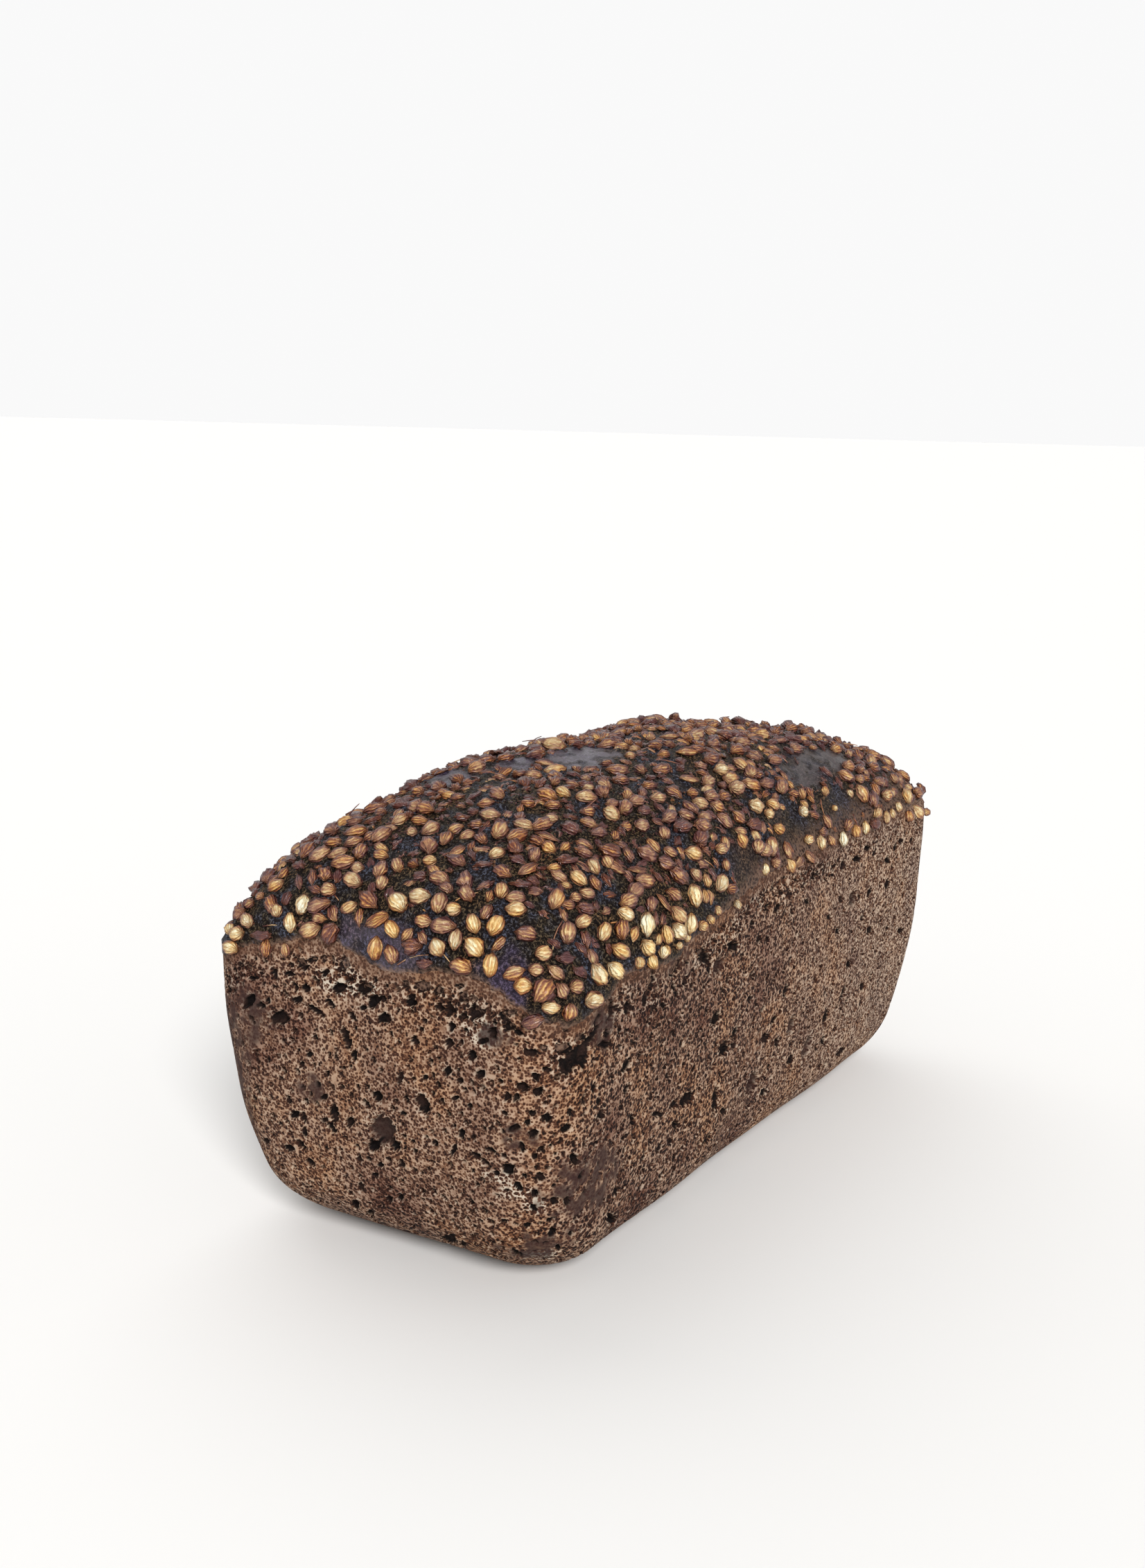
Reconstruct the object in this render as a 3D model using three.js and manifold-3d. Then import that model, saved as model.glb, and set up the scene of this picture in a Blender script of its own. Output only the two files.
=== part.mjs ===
// Borodinsky rye: a tin loaf with straight porous walls and a domed dark crust, strewn with whole
// coriander seeds. It is one solid: the cavities of the crumb are cut into it, and the largest
// seeds are fused to its crust.
//
// Millimetres, +Z up. +X runs along the loaf and +Y across it. The origin lies under the middle of
// the loaf, on the flat base that it stands on.

import * as THREE from 'three';
import * as BufferGeometryUtils from 'three/addons/utils/BufferGeometryUtils.js';
import Module from 'manifold-3d';

const wasm = await Module();
wasm.setup();

// The tin's form: the walls lean out from the foot up to the flare height, then stand upright
const RIM_LENGTH = 196.8;
const RIM_WIDTH = 84;
const FOOT_LENGTH = 167.8;
const FOOT_WIDTH = 73.6;
const FLARE_HEIGHT = 60;
const END_FLARE_POWER = 3.2;
const SIDE_FLARE_POWER = 2.65;
const FOOT_CORNER_RADIUS = 17.3;
const RIM_CORNER_RADIUS = 11.8;
const BASE_ROUNDING = 14.2;

// The crust: the height of its rim at each corner, the rise of the rim between them, and the crown
const RIM_HEIGHT = { nearRight: 57.9, nearLeft: 54.1, farRight: 65.1, farLeft: 61.5 };
const END_RIM_RISE = 10.4;
const SIDE_RIM_RISE = 7;
const CROWN_HEIGHT = 93.4;
const CROWN_SLOPE = -0.015;
const DOME_SHAPE = { alongPower: 2.75, alongEdge: 0.386, acrossPower: 3, acrossEdge: 0.607 };

// Slow unevenness of the dough, and the hollow that the tin left low on the right side
const LUMP_DEPTH = 0.55;
const DOME_LUMP_DEPTH = 1.1;
const LUMP_FADE_HEIGHT = 12;
const SIDE_HOLLOW = { x: -12, depth: 1.1, halfLength: 21, height: 26 };

// Grid of the skin: the box that is drawn in onto the loaf, and the core that it is drawn towards
const SHELL = { halfLength: 100, halfWidth: 44, height: 100 };
const CORE = { halfLength: 60, halfWidth: 8, low: 32, high: 52 };
const SKIN_COLUMNS = 20;
const SKIN_ROWS = 10;
const SKIN_LEVELS = [0, 8, 17, 30, 43, 53, 58, 63, 68, 73, 79, 88, 100];
const SKIN_CROWDING = 0.6;
const HALVINGS = 32;
const FARTHEST_REACH = 1.6;

// Coriander seeds
const SEED_LENGTH = { least: 3.2, most: 4.9 };
const SEED_SLIMNESS = { least: 0.7, most: 0.9 };
const SEED_TRIES = 9000;
const SEED_TILT = 0.35;
const SEED_SUNK = { least: 0.2, most: 0.62 };
const SEEN_SUNK = 0.2;
const SEEN_CLEARANCE = 5.2;
const SEED_CROWDING = 0.86;
const SEED_THINNING = 0.42;
const SEEDS_FUSED = 215;
const THROWN_PAST_EDGE = 45;
const DRAW_START = 20611;
const DRAW_FACTOR = 48271;
const DRAW_MODULUS = 2147483647;

// Seeds that can be told apart. Each has six whole numbers: its place on the skin in tenths of a
// millimetre, its turn in degrees, and its length and width in tenths of a millimetre.
const SEEDS_SEEN = `
-954 -58 768 59 50 36  -941 -96 783 101 45 33  -943 -142 778 16 43 34  -944 -173 772 104 31 29
-966 -123 749 91 36 27  -965 -166 745 96 50 33  -977 -61 727 46 38 28  -978 -96 723 145 32 22
-977 -129 722 45 27 22  -981 -110 705 99 37 35  -984 -65 678 36 40 30  -979 -167 712 32 36 34
-971 -199 728 4 40 29  -983 -139 677 100 33 26  -982 -220 685 87 47 32  -970 -241 720 56 47 36
-975 -279 696 2 45 30  -950 -222 755 36 43 29  -939 -263 754 177 45 35  -928 -234 773 179 34 25
-899 -278 777 121 40 34  -880 -264 793 123 39 29  -921 -315 743 110 41 32
-853 -356 737 32 46 35  -922 -350 713 129 35 33  -802 -359 748 172 44 29  -817 -375 721 54 33 22
-764 -382 723 22 46 30  -887 -375 700 143 48 28  -867 -394 674 122 33 26  -824 -407 660 96 49 33
-771 -412 657 120 44 33  -970 -324 686 119 40 29  -948 -353 690 119 29 28
-920 -376 682 94 37 26  -972 -345 667 104 34 33  -957 -374 659 160 49 40  -928 -393 654 74 33 27
-893 -401 654 147 34 28  -946 -384 631 80 36 27  -918 -404 618 171 34 32
-858 -416 624 154 50 34  -964 -361 604 111 38 26  -714 -392 718 45 42 33
-740 -405 685 132 50 33  -826 -316 787 18 50 34  -776 -350 766 144 43 28  -943 288 725 88 27 19
-946 313 706 108 29 20  -952 332 684 118 36 27  -969 297 681 56 40 28  -965 346 654 38 27 24
-976 317 654 98 35 31  -981 331 625 86 42 28  -962 242 720 46 41 30  -968 224 713 32 29 26
-964 161 733 177 42 31  -964 124 738 112 50 33  -977 183 699 14 39 26  -979 131 696 111 50 34
-974 115 718 91 35 23  -980 82 698 148 48 32  -981 252 663 100 50 25  -984 239 639 11 36 24
-982 193 646 13 31 21  -964 51 746 128 37 25  -954 13 763 63 50 33  -973 -22 736 121 54 29
-983 -28 688 169 48 31  -634 -402 712 51 50 33  -651 -414 674 129 39 34  -682 -383 739 134 43 29
-685 -418 652 58 25 23  -635 -425 595 63 36 25  -597 -424 650 31 30 24  -566 -414 647 37 31 20
-603 -415 678 49 25 18  -572 -415 681 97 42 28  -526 -416 677 135 50 33  -524 -422 647 22 24 16
-483 -420 652 23 25 16  -474 -416 681 59 45 30  -516 -409 706 129 50 33  -544 -396 735 118 54 17
-433 -402 726 73 50 33  -421 -418 666 4 34 25  -382 -418 670 140 32 21  -347 -418 681 121 27 19
-388 -407 717 74 31 20  -362 -397 743 76 31 20  -397 -387 760 118 35 25  -316 -405 729 31 47 31
-257 -419 675 160 30 20  -108 -413 719 64 29 19  -276 -413 710 162 40 26  -269 -394 757 63 30 22
-264 -378 787 164 37 28  -374 -367 796 147 50 33  -440 -350 809 125 34 25
-507 -394 742 133 38 29  -592 -390 741 46 36 26  -619 -368 769 4 50 33  -655 -373 757 170 50 33
-576 -365 777 150 50 33  -564 -347 797 154 54 18  -627 -325 812 125 54 26
-606 -301 834 144 50 33  -561 -321 821 68 36 24  -508 -334 815 135 50 33
-476 -360 794 141 45 30  -463 -379 769 126 50 33  -524 -370 777 108 30 18
-674 -336 797 76 27 21  -56 -412 723 169 36 27  -92 -399 755 170 50 33  -833 -38 846 34 50 38
-868 -65 831 101 29 26  -777 -3 867 162 44 31  -797 -52 860 22 51 28  -711 58 888 75 50 33
-755 41 875 103 37 24  -723 -38 886 109 32 26  -737 -79 880 113 27 26  -776 -120 865 48 38 25
-695 -86 891 107 45 30  -653 -47 904 139 36 25  -609 -45 913 68 46 31  -625 0 910 180 50 17
-641 29 906 131 30 20  -577 120 902 55 50 33  -593 158 891 71 39 29  -740 -138 873 10 50 36
-806 -174 849 154 38 25  -691 -160 881 98 43 28  -736 -175 868 161 50 33  -771 -192 856 43 47 31
-799 -218 841 95 34 24  -765 -232 846 26 42 28  -727 -239 853 85 32 29  -693 -215 868 98 50 20
-666 -186 881 165 47 31  -630 -185 888 135 30 23  -518 -144 916 77 41 27
-582 -160 903 134 33 25  -556 -129 913 85 50 33  -500 -188 908 135 47 31
-610 -119 905 128 30 25  -633 -231 873 108 41 33  -577 -240 877 118 37 24
-548 -219 890 148 31 28  -726 -279 836 147 50 26  -673 -283 842 125 34 27
-683 -311 821 68 38 28  -743 -313 810 96 40 29  -777 -293 817 99 35 25  -766 -276 829 141 29 22
-778 -310 805 121 24 16  -711 -332 798 75 31 24  -749 -337 786 145 37 25
-783 -332 785 150 26 23  -844 -212 827 79 37 28  -808 -245 830 168 54 25
-847 -255 812 120 41 20  -882 -235 802 22 38 29  -844 -170 836 124 40 19  -829 -133 846 49 42 17
-829 -101 848 161 41 23  -855 -118 836 71 42 28  -904 -114 811 82 46 31  -916 -137 801 74 34 24
-896 -165 811 37 43 32  -914 -181 797 51 42 29  -636 -315 821 70 30 26  -451 -166 919 146 29 19
-447 -193 912 47 45 30  -583 -265 862 157 39 26  -908 -70 809 101 26 26  -927 2 791 23 34 27
-900 26 807 17 45 30  -867 51 826 89 36 24  -887 -4 817 42 43 28  -793 32 861 103 24 23
-818 87 849 167 50 33  -760 85 871 166 40 27  -707 82 886 85 50 33  -533 219 884 60 50 33
-590 237 866 127 31 22  -678 207 862 125 49 32  -757 153 863 142 40 21  -758 200 851 99 37 24
-792 229 833 56 50 33  -848 181 829 106 38 25  -814 152 846 124 47 31  -845 136 835 135 39 26
-867 101 825 11 37 30  -885 185 809 133 49 32  -877 147 817 129 39 26  -896 118 806 113 50 33
-865 231 807 9 48 32  -904 78 803 100 29 28  -928 70 785 73 50 33  -923 141 785 31 29 29
-945 115 764 98 35 32  -904 221 788 89 32 23  -935 197 767 40 40 19  -873 268 787 68 50 20
-914 253 770 168 27 21  -936 253 750 122 40 27  -900 303 750 31 48 32  -502 -246 882 107 38 33
-445 -247 886 12 50 33  -396 -246 891 168 46 30  -461 -227 896 156 35 23
-453 -291 856 155 35 31  -495 -277 861 157 27 24  -546 -281 853 35 26 22  -415 -322 839 42 35 29
-362 -305 860 178 50 33  -352 -330 842 165 50 33  -317 -356 816 17 50 34  -167 -380 787 81 36 28
-118 -394 766 47 37 34  -56 -398 756 53 50 33  20 -383 779 147 37 26  16 -359 810 169 30 26
62 -347 821 150 43 30  -17 -340 828 147 43 35  -82 -366 804 170 50 33  -120 -348 823 119 36 31
-189 -347 829 126 45 30  -175 -322 852 141 37 31  -228 -309 867 145 42 28
-310 -317 858 135 39 26  -285 -342 836 157 50 33  -257 -333 846 167 42 28
-273 -309 866 96 39 26  -354 -281 876 83 35 20  -406 -271 876 155 31 26  -329 -262 888 156 42 28
-209 -281 883 167 34 25  -267 -265 890 90 42 28  -106 -265 887 7 50 33  2 -244 895 168 50 33
-5 -270 879 167 50 33  -19 -293 863 167 50 37  50 -298 861 137 50 33  104 -244 894 88 45 30
-76 -237 900 130 34 23  -291 -221 904 157 39 26  153 -325 843 32 50 33  -160 -300 869 175 50 33
-101 -302 861 174 43 28  96 -272 879 35 50 33  119 -282 874 164 36 24  17 -210 914 167 50 33
-165 -184 914 144 44 29  -204 -152 917 63 38 25  -133 -88 930 137 27 24  -69 -138 930 135 30 24
181 -199 909 166 50 33  110 -308 856 165 44 29  195 -235 897 117 35 23  251 -263 883 168 50 33
140 -157 924 174 50 33  -265 -130 920 138 50 33  -407 -175 918 73 42 28  -339 -178 916 163 45 30
189 -415 723 90 37 26  248 -417 717 123 34 23  317 -418 707 78 37 24  399 -415 713 106 34 29
364 -409 732 22 42 28  466 -416 709 87 34 22  255 -401 757 107 38 25  170 -375 791 166 31 29
202 -366 803 119 26 18  225 -348 821 41 36 23  332 -361 811 32 32 23  330 -390 776 171 24 16
549 -360 806 178 41 28  508 -382 779 99 50 36  453 -377 790 99 24 19  655 -370 782 177 45 31
650 -395 753 175 50 33  701 -392 751 98 24 23  791 -397 729 62 50 33  701 -410 719 105 30 23
654 -414 711 105 28 19  605 -416 710 79 35 23  796 -361 769 59 39 26  885 -304 791 123 43 28
846 -282 810 151 50 33  724 -329 803 179 50 33  539 -332 835 172 50 33  415 -328 842 97 34 22
513 -252 878 171 31 20  889 -392 720 1 50 33  290 -231 896 118 31 20  208 -324 843 111 28 18
248 -363 807 93 25 16  777 -232 841 119 31 20
`;

// Where the crust shows bare between the seeds: the middle and the half widths of each patch
const BARE_PATCHES = [
  { at: [-92, 42, 62], half: [10, 5, 6] },
  { at: [-98, -3, 68], half: [5, 10, 6] },
  { at: [-98, -30, 66], half: [6, 7, 6] },
  { at: [-18, -40.3, 74.7], half: [7.5, 5, 5.5] },
  { at: [8, -39, 76.6], half: [8, 5.5, 6] },
  { at: [36.5, -39, 77.4], half: [13, 4.5, 4.5] },
  { at: [47, -30, 86], half: [19, 6, 7] },
  { at: [30.5, -31.3, 85], half: [9, 4.5, 5] },
  { at: [-21, -1, 94], half: [13, 7, 9] },
  { at: [-47.6, 16, 91], half: [6, 6, 8] },
  { at: [-35, 7.3, 93], half: [5, 4.5, 8] },
  { at: [66, 12, 92], half: [12, 7, 8] },
  { at: [20, 24, 92], half: [12, 6, 8] },
];

// Cavities of the crumb: where each lies on the walls, and its half widths along X, Y and Z
const CAVITIES = [
  { at: [-97, -1.8, 31], half: [2.6, 3.3, 2.9] },
  { at: [-98, -13.4, 40.3], half: [2, 1.9, 2.3] },
  { at: [-98, 21.4, 50.3], half: [2.2, 2.4, 1.9] },
  { at: [-92, -40, 53.5], half: [3, 2.6, 3.2] },
  { at: [-98, 9, 56.5], half: [1.6, 2.4, 1.3] },
  { at: [-98, -20, 57], half: [1.7, 2.8, 1.5] },
  { at: [-97, 14, 33], half: [1.5, 1.6, 2.1] },
  { at: [-96, 6, 24], half: [1.6, 1.7, 1.5] },
  { at: [-38, -42, 58], half: [2.4, 1.6, 2.6] },
  { at: [-40, -41, 27.6], half: [2.1, 1.5, 2.4] },
  { at: [-62, -42, 37], half: [1.7, 1.5, 2.3] },
  { at: [-12, -42, 45], half: [1.8, 1.6, 2.8] },
  { at: [18, -41, 33], half: [1.8, 1.6, 2.6] },
  { at: [46, -42, 48], half: [1.7, 1.5, 2.4] },
  { at: [70, -41, 30], half: [1.6, 1.5, 2.2] },
  { at: [98, 12, 44], half: [2, 2.2, 2.2] },
  { at: [98, -16, 34], half: [1.8, 2, 1.7] },
  { at: [97, -2, 56], half: [1.7, 2.6, 1.5] },
  { at: [52, 42, 50], half: [2.2, 1.6, 2.2] },
  { at: [10, 41, 30], half: [2, 1.6, 2.5] },
  { at: [-30, 42, 46], half: [1.8, 1.6, 2.3] },
  { at: [-66, 42, 34], half: [2.1, 1.6, 1.8] },
];
const CAVITY_ROUGHNESS = 0.2;

const CRUST_COLOUR = '#4b3a30';
const CRUST_ROUGHNESS = 0.75;

function mix(from, to, share) {
  return from + (to - from) * share;
}

function limit(value, low, high) {
  return Math.min(Math.max(value, low), high);
}

// Half length, half width and corner radius of the walls at a height
function wallAt(z) {
  const share = limit(1 - z / FLARE_HEIGHT, 0, 1);
  return {
    halfLength: mix(RIM_LENGTH, FOOT_LENGTH, share ** END_FLARE_POWER) / 2,
    halfWidth: mix(RIM_WIDTH, FOOT_WIDTH, share ** SIDE_FLARE_POWER) / 2,
    corner: mix(RIM_CORNER_RADIUS, FOOT_CORNER_RADIUS, share),
  };
}

// Height of the crust's rim, for a place from -1 to 1 along and across the loaf
function rimHeight(along, across) {
  const right = mix(RIM_HEIGHT.nearRight, RIM_HEIGHT.farRight, (along + 1) / 2);
  const left = mix(RIM_HEIGHT.nearLeft, RIM_HEIGHT.farLeft, (along + 1) / 2);
  const endRise = END_RIM_RISE * (1 - across ** 2) * along ** 2;
  const sideRise = SIDE_RIM_RISE * (1 - along ** 2) * across ** 2;
  return mix(right, left, (across + 1) / 2) + endRise + sideRise;
}

function domeHeight(x, y) {
  const along = limit(x / (RIM_LENGTH / 2), -1, 1);
  const across = limit(y / (RIM_WIDTH / 2), -1, 1);
  const rim = rimHeight(along, across);
  const riseAlong = (1 - Math.abs(along) ** DOME_SHAPE.alongPower) ** DOME_SHAPE.alongEdge;
  const riseAcross = (1 - Math.abs(across) ** DOME_SHAPE.acrossPower) ** DOME_SHAPE.acrossEdge;
  return rim + (CROWN_HEIGHT + CROWN_SLOPE * x - rim) * riseAlong * riseAcross;
}

// Two distances joined with a rounded edge where both faces meet
function roundedMeeting(first, second, radius) {
  const inside = Math.min(-radius, Math.max(first, second));
  return inside + Math.hypot(Math.max(first + radius, 0), Math.max(second + radius, 0));
}

// The hollow low on the right side, and slow lumps that fade out towards the flat base
function unevenness(x, y, z) {
  const slow = Math.sin(x / 11 + 0.7) * Math.sin(y / 9 + z / 13 + 1.9);
  const quick = Math.sin(x / 6.5 - z / 7 + 2.3) * Math.sin(y / 6 + z / 9 + 0.4);
  const onDome = limit((z - 62) / 15, 0, 1);
  const fade = limit(z / LUMP_FADE_HEIGHT, 0, 1);
  const lumps = mix(LUMP_DEPTH, DOME_LUMP_DEPTH, onDome) * (0.6 * slow + 0.4 * quick) * fade;
  const near = Math.exp(-(((x - SIDE_HOLLOW.x) / SIDE_HOLLOW.halfLength) ** 2));
  const low = Math.exp(-((z / SIDE_HOLLOW.height) ** 2)) * fade;
  const hollow = y < 0 ? SIDE_HOLLOW.depth * near * low : 0;
  return hollow - lumps;
}

// How far a place lies outside the loaf, below zero inside it
function outside(x, y, z) {
  const wall = wallAt(z);
  const pastLength = Math.abs(x) - (wall.halfLength - wall.corner);
  const pastWidth = Math.abs(y) - (wall.halfWidth - wall.corner);
  const pastCorner = Math.hypot(Math.max(pastLength, 0), Math.max(pastWidth, 0));
  const pastWall = pastCorner + Math.min(Math.max(pastLength, pastWidth), 0) - wall.corner;
  const pastBody = roundedMeeting(pastWall, -z, BASE_ROUNDING);
  return Math.max(pastBody, z - domeHeight(x, y)) + unevenness(x, y, z);
}

// The place on the loaf's skin that lies between the core and a place on the shell
function onSkin(shellPlace) {
  const start = new THREE.Vector3(
    limit(shellPlace.x, -CORE.halfLength, CORE.halfLength),
    limit(shellPlace.y, -CORE.halfWidth, CORE.halfWidth),
    limit(shellPlace.z, CORE.low, CORE.high),
  );
  const reach = shellPlace.clone().sub(start);
  let near = 0;
  let far = FARTHEST_REACH;
  for (let halving = 0; halving < HALVINGS; halving += 1) {
    const middle = (near + far) / 2;
    const place = reach.clone().multiplyScalar(middle).add(start);
    if (outside(place.x, place.y, place.z) < 0) {
      near = middle;
    } else {
      far = middle;
    }
  }
  return reach.multiplyScalar(near).add(start);
}

// Which way the skin faces at a place on it
function skinNormal(place) {
  const step = 0.5;
  const { x, y, z } = place;
  return new THREE.Vector3(
    outside(x + step, y, z) - outside(x - step, y, z),
    outside(x, y + step, z) - outside(x, y - step, z),
    outside(x, y, z + step) - outside(x, y, z - step),
  ).normalize();
}

// A closed geometry as a solid that can be joined and cut
function solidOf(geometry) {
  geometry.deleteAttribute('normal');
  geometry.deleteAttribute('uv');
  const merged = BufferGeometryUtils.mergeVertices(geometry);
  return new wasm.Manifold(new wasm.Mesh({
    numProp: 3,
    vertProperties: merged.getAttribute('position').array,
    triVerts: Uint32Array.from(merged.getIndex().array),
  }));
}

// Draws the lines of the grid together towards the corners, for a place from -1 to 1
function crowded(place) {
  return mix(place, Math.sin(Math.PI / 2 * place), SKIN_CROWDING);
}

function makeBody() {
  const levels = SKIN_LEVELS.length - 1;
  const shell = new THREE.BoxGeometry(2, 2, levels, SKIN_COLUMNS, SKIN_ROWS, levels);
  const places = shell.getAttribute('position');
  for (let index = 0; index < places.count; index += 1) {
    const place = onSkin(new THREE.Vector3(
      SHELL.halfLength * crowded(places.getX(index)),
      SHELL.halfWidth * crowded(places.getY(index)),
      SKIN_LEVELS[Math.round(places.getZ(index) + levels / 2)],
    ));
    const onBase = place.z < 0.01;
    places.setXYZ(index, place.x, place.y, onBase ? 0 : place.z);
  }
  return solidOf(shell);
}

// A rough pocket of a few faces, its middle on the skin
function makeCavity(cavity, index) {
  const pocket = new THREE.IcosahedronGeometry(1, 0);
  const corners = pocket.getAttribute('position');
  for (let corner = 0; corner < corners.count; corner += 1) {
    const [x, y, z] = [corners.getX(corner), corners.getY(corner), corners.getZ(corner)];
    const size = 1 + CAVITY_ROUGHNESS * Math.sin(3 * x + 5 * y - 4 * z + index);
    corners.setXYZ(corner, x * size, y * size, z * size);
  }
  pocket.rotateX(index);
  pocket.scale(...cavity.half);
  const middle = onSkin(new THREE.Vector3(...cavity.at));
  pocket.translate(middle.x, middle.y, middle.z);
  return solidOf(pocket);
}

// One repeatable row of numbers from 0 to 1
let drawState = DRAW_START;
function draw() {
  drawState = (drawState * DRAW_FACTOR) % DRAW_MODULUS;
  return drawState / DRAW_MODULUS;
}

// Whether a place lies in a bare patch, whose edge is uneven
function isBare({ x, y, z }) {
  const ripple = 0.22 * Math.sin(x / 2.3 + z / 3) * Math.cos(y / 1.9 - z / 4);
  const waver = ripple + 0.14 * Math.sin(x - 0.8 * y);
  return BARE_PATCHES.some(({ at, half }) => {
    const away = Math.hypot((x - at[0]) / half[0], (y - at[1]) / half[1], (z - at[2]) / half[2]);
    return away + waver < 1;
  });
}

// How far apart seeds lie here, as a share more than touching: they drift into clumps
function looseness(x, y) {
  const drift = Math.sin(x / 5.3 + y / 8 + 0.6) * Math.sin(y / 4.7 - x / 9 + 2.1);
  return SEED_THINNING * Math.max(drift, 0);
}

// How far a seed reaches from its middle in a direction
function seedReach(seed, direction) {
  const share = seed.lie.dot(direction);
  const across = Math.sqrt(Math.max(1 - share ** 2, 0));
  return 1 / Math.hypot(share / (seed.length / 2), across / (seed.width / 2));
}

function hasRoom(seed, seeds) {
  const space = SEED_CROWDING + looseness(seed.middle.x, seed.middle.y);
  return seeds.every((other) => {
    const gap = other.middle.clone().sub(seed.middle);
    const distance = gap.length();
    if (distance > 2 * SEED_LENGTH.most) {
      return true;
    }
    gap.divideScalar(distance);
    return distance > space * (seedReach(seed, gap) + seedReach(other, gap));
  });
}

// A seed that lies on a place of the skin, sunk into the dough by a share of its width
function seedAt({ foot, length, width, turn, tilt, sunk }) {
  const up = skinNormal(foot);
  const lie = new THREE.Vector3(-up.z, 0, up.x).normalize().applyAxisAngle(up, turn);
  lie.addScaledVector(up, tilt).normalize();
  const middle = foot.clone().addScaledVector(up, width * (0.5 - sunk));
  return { middle, lie, up, length, width };
}

function setSeeds() {
  const numbers = SEEDS_SEEN.trim().split(/\s+/).map(Number);
  const seeds = [];
  for (let first = 0; first < numbers.length; first += 6) {
    const [x, y, z, degrees, length, width] = numbers.slice(first, first + 6);
    seeds.push(seedAt({
      foot: new THREE.Vector3(x / 10, y / 10, z / 10),
      length: length / 10,
      width: width / 10,
      turn: THREE.MathUtils.degToRad(degrees),
      tilt: 0,
      sunk: SEEN_SUNK,
    }));
  }
  return seeds;
}

// The other seeds are thrown at the crust one by one, and each stays where it finds room
function throwSeeds(seen) {
  const seeds = [...seen];
  for (let attempt = 0; attempt < SEED_TRIES; attempt += 1) {
    const unfoldedX = (2 * draw() - 1) * (SHELL.halfLength + THROWN_PAST_EDGE);
    const unfoldedY = (2 * draw() - 1) * (SHELL.halfWidth + THROWN_PAST_EDGE);
    const length = mix(SEED_LENGTH.least, SEED_LENGTH.most, draw());
    const width = length * mix(SEED_SLIMNESS.least, SEED_SLIMNESS.most, draw());
    const turn = Math.PI * draw();
    const tilt = SEED_TILT * (2 * draw() - 1);
    const sunk = mix(SEED_SUNK.least, SEED_SUNK.most, draw() ** 2);

    const pastEnd = Math.max(Math.abs(unfoldedX) - SHELL.halfLength, 0);
    const pastSide = Math.max(Math.abs(unfoldedY) - SHELL.halfWidth, 0);
    if (pastEnd > 0 && pastSide > 0) {
      continue;
    }
    const foot = onSkin(new THREE.Vector3(
      limit(unfoldedX, -SHELL.halfLength, SHELL.halfLength),
      limit(unfoldedY, -SHELL.halfWidth, SHELL.halfWidth),
      SHELL.height - pastEnd - pastSide,
    ));
    const along = limit(foot.x / (RIM_LENGTH / 2), -1, 1);
    const across = limit(foot.y / (RIM_WIDTH / 2), -1, 1);
    if (foot.z < rimHeight(along, across) + length / 4 || isBare(foot)) {
      continue;
    }
    const seed = seedAt({ foot, length, width, turn, tilt, sunk });
    const clear = seen.every(({ middle }) => middle.distanceTo(seed.middle) >= SEEN_CLEARANCE);
    if (clear && hasRoom(seed, seeds)) {
      seeds.push(seed);
    }
  }
  return seeds;
}

// A seed of few faces, with a point at each end
function makeSeed(seed) {
  const grain = new THREE.IcosahedronGeometry(1, 0);
  const pointTurn = Math.atan2(1 + Math.sqrt(5), 2);
  grain.rotateZ(-pointTurn);
  grain.scale(seed.length / 2, seed.width / 2, seed.width / 2);
  const turned = new THREE.Matrix4().makeBasis(
    seed.lie,
    seed.up.clone().cross(seed.lie).normalize(),
    seed.lie.clone().cross(seed.up.clone().cross(seed.lie)).normalize(),
  );
  grain.applyMatrix4(turned);
  grain.translate(seed.middle.x, seed.middle.y, seed.middle.z);
  return solidOf(grain);
}

// Fused seeds can shut in a hollow or leave a loose scrap: only the outermost shell is kept
function outermostShell(positions, triangles) {
  const parent = Array.from({ length: positions.length / 3 }, (_, index) => index);
  const rootOf = (index) => {
    let root = index;
    while (parent[root] !== root) {
      parent[root] = parent[parent[root]];
      root = parent[root];
    }
    return root;
  };
  const sizes = new Map();
  for (let corner = 0; corner < triangles.length; corner += 3) {
    parent[rootOf(triangles[corner])] = rootOf(triangles[corner + 1]);
    parent[rootOf(triangles[corner + 1])] = rootOf(triangles[corner + 2]);
  }
  for (const vertex of triangles) {
    sizes.set(rootOf(vertex), (sizes.get(rootOf(vertex)) ?? 0) + 1);
  }
  const largest = [...sizes.entries()].sort((one, other) => other[1] - one[1])[0][0];
  return Array.from(triangles).filter((vertex) => rootOf(vertex) === largest);
}

function makeLoaf() {
  let solid = makeBody();
  CAVITIES.forEach((cavity, index) => {
    solid = solid.subtract(makeCavity(cavity, index));
  });
  const largestFirst = throwSeeds(setSeeds()).sort((one, other) => other.length - one.length);
  for (const seed of largestFirst.slice(0, SEEDS_FUSED)) {
    solid = solid.add(makeSeed(seed));
  }
  const { vertProperties, triVerts } = solid.getMesh();
  const geometry = new THREE.BufferGeometry();
  geometry.setAttribute('position', new THREE.BufferAttribute(vertProperties, 3));
  geometry.setIndex(outermostShell(vertProperties, triVerts));
  geometry.computeVertexNormals();
  const crust = new THREE.MeshStandardMaterial({
    color: CRUST_COLOUR,
    roughness: CRUST_ROUGHNESS,
    metalness: 0,
  });
  const loaf = new THREE.Mesh(geometry, crust);
  loaf.name = 'loaf';
  return loaf;
}

const bread = new THREE.Group();
bread.add(makeLoaf());

export default bread;
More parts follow.
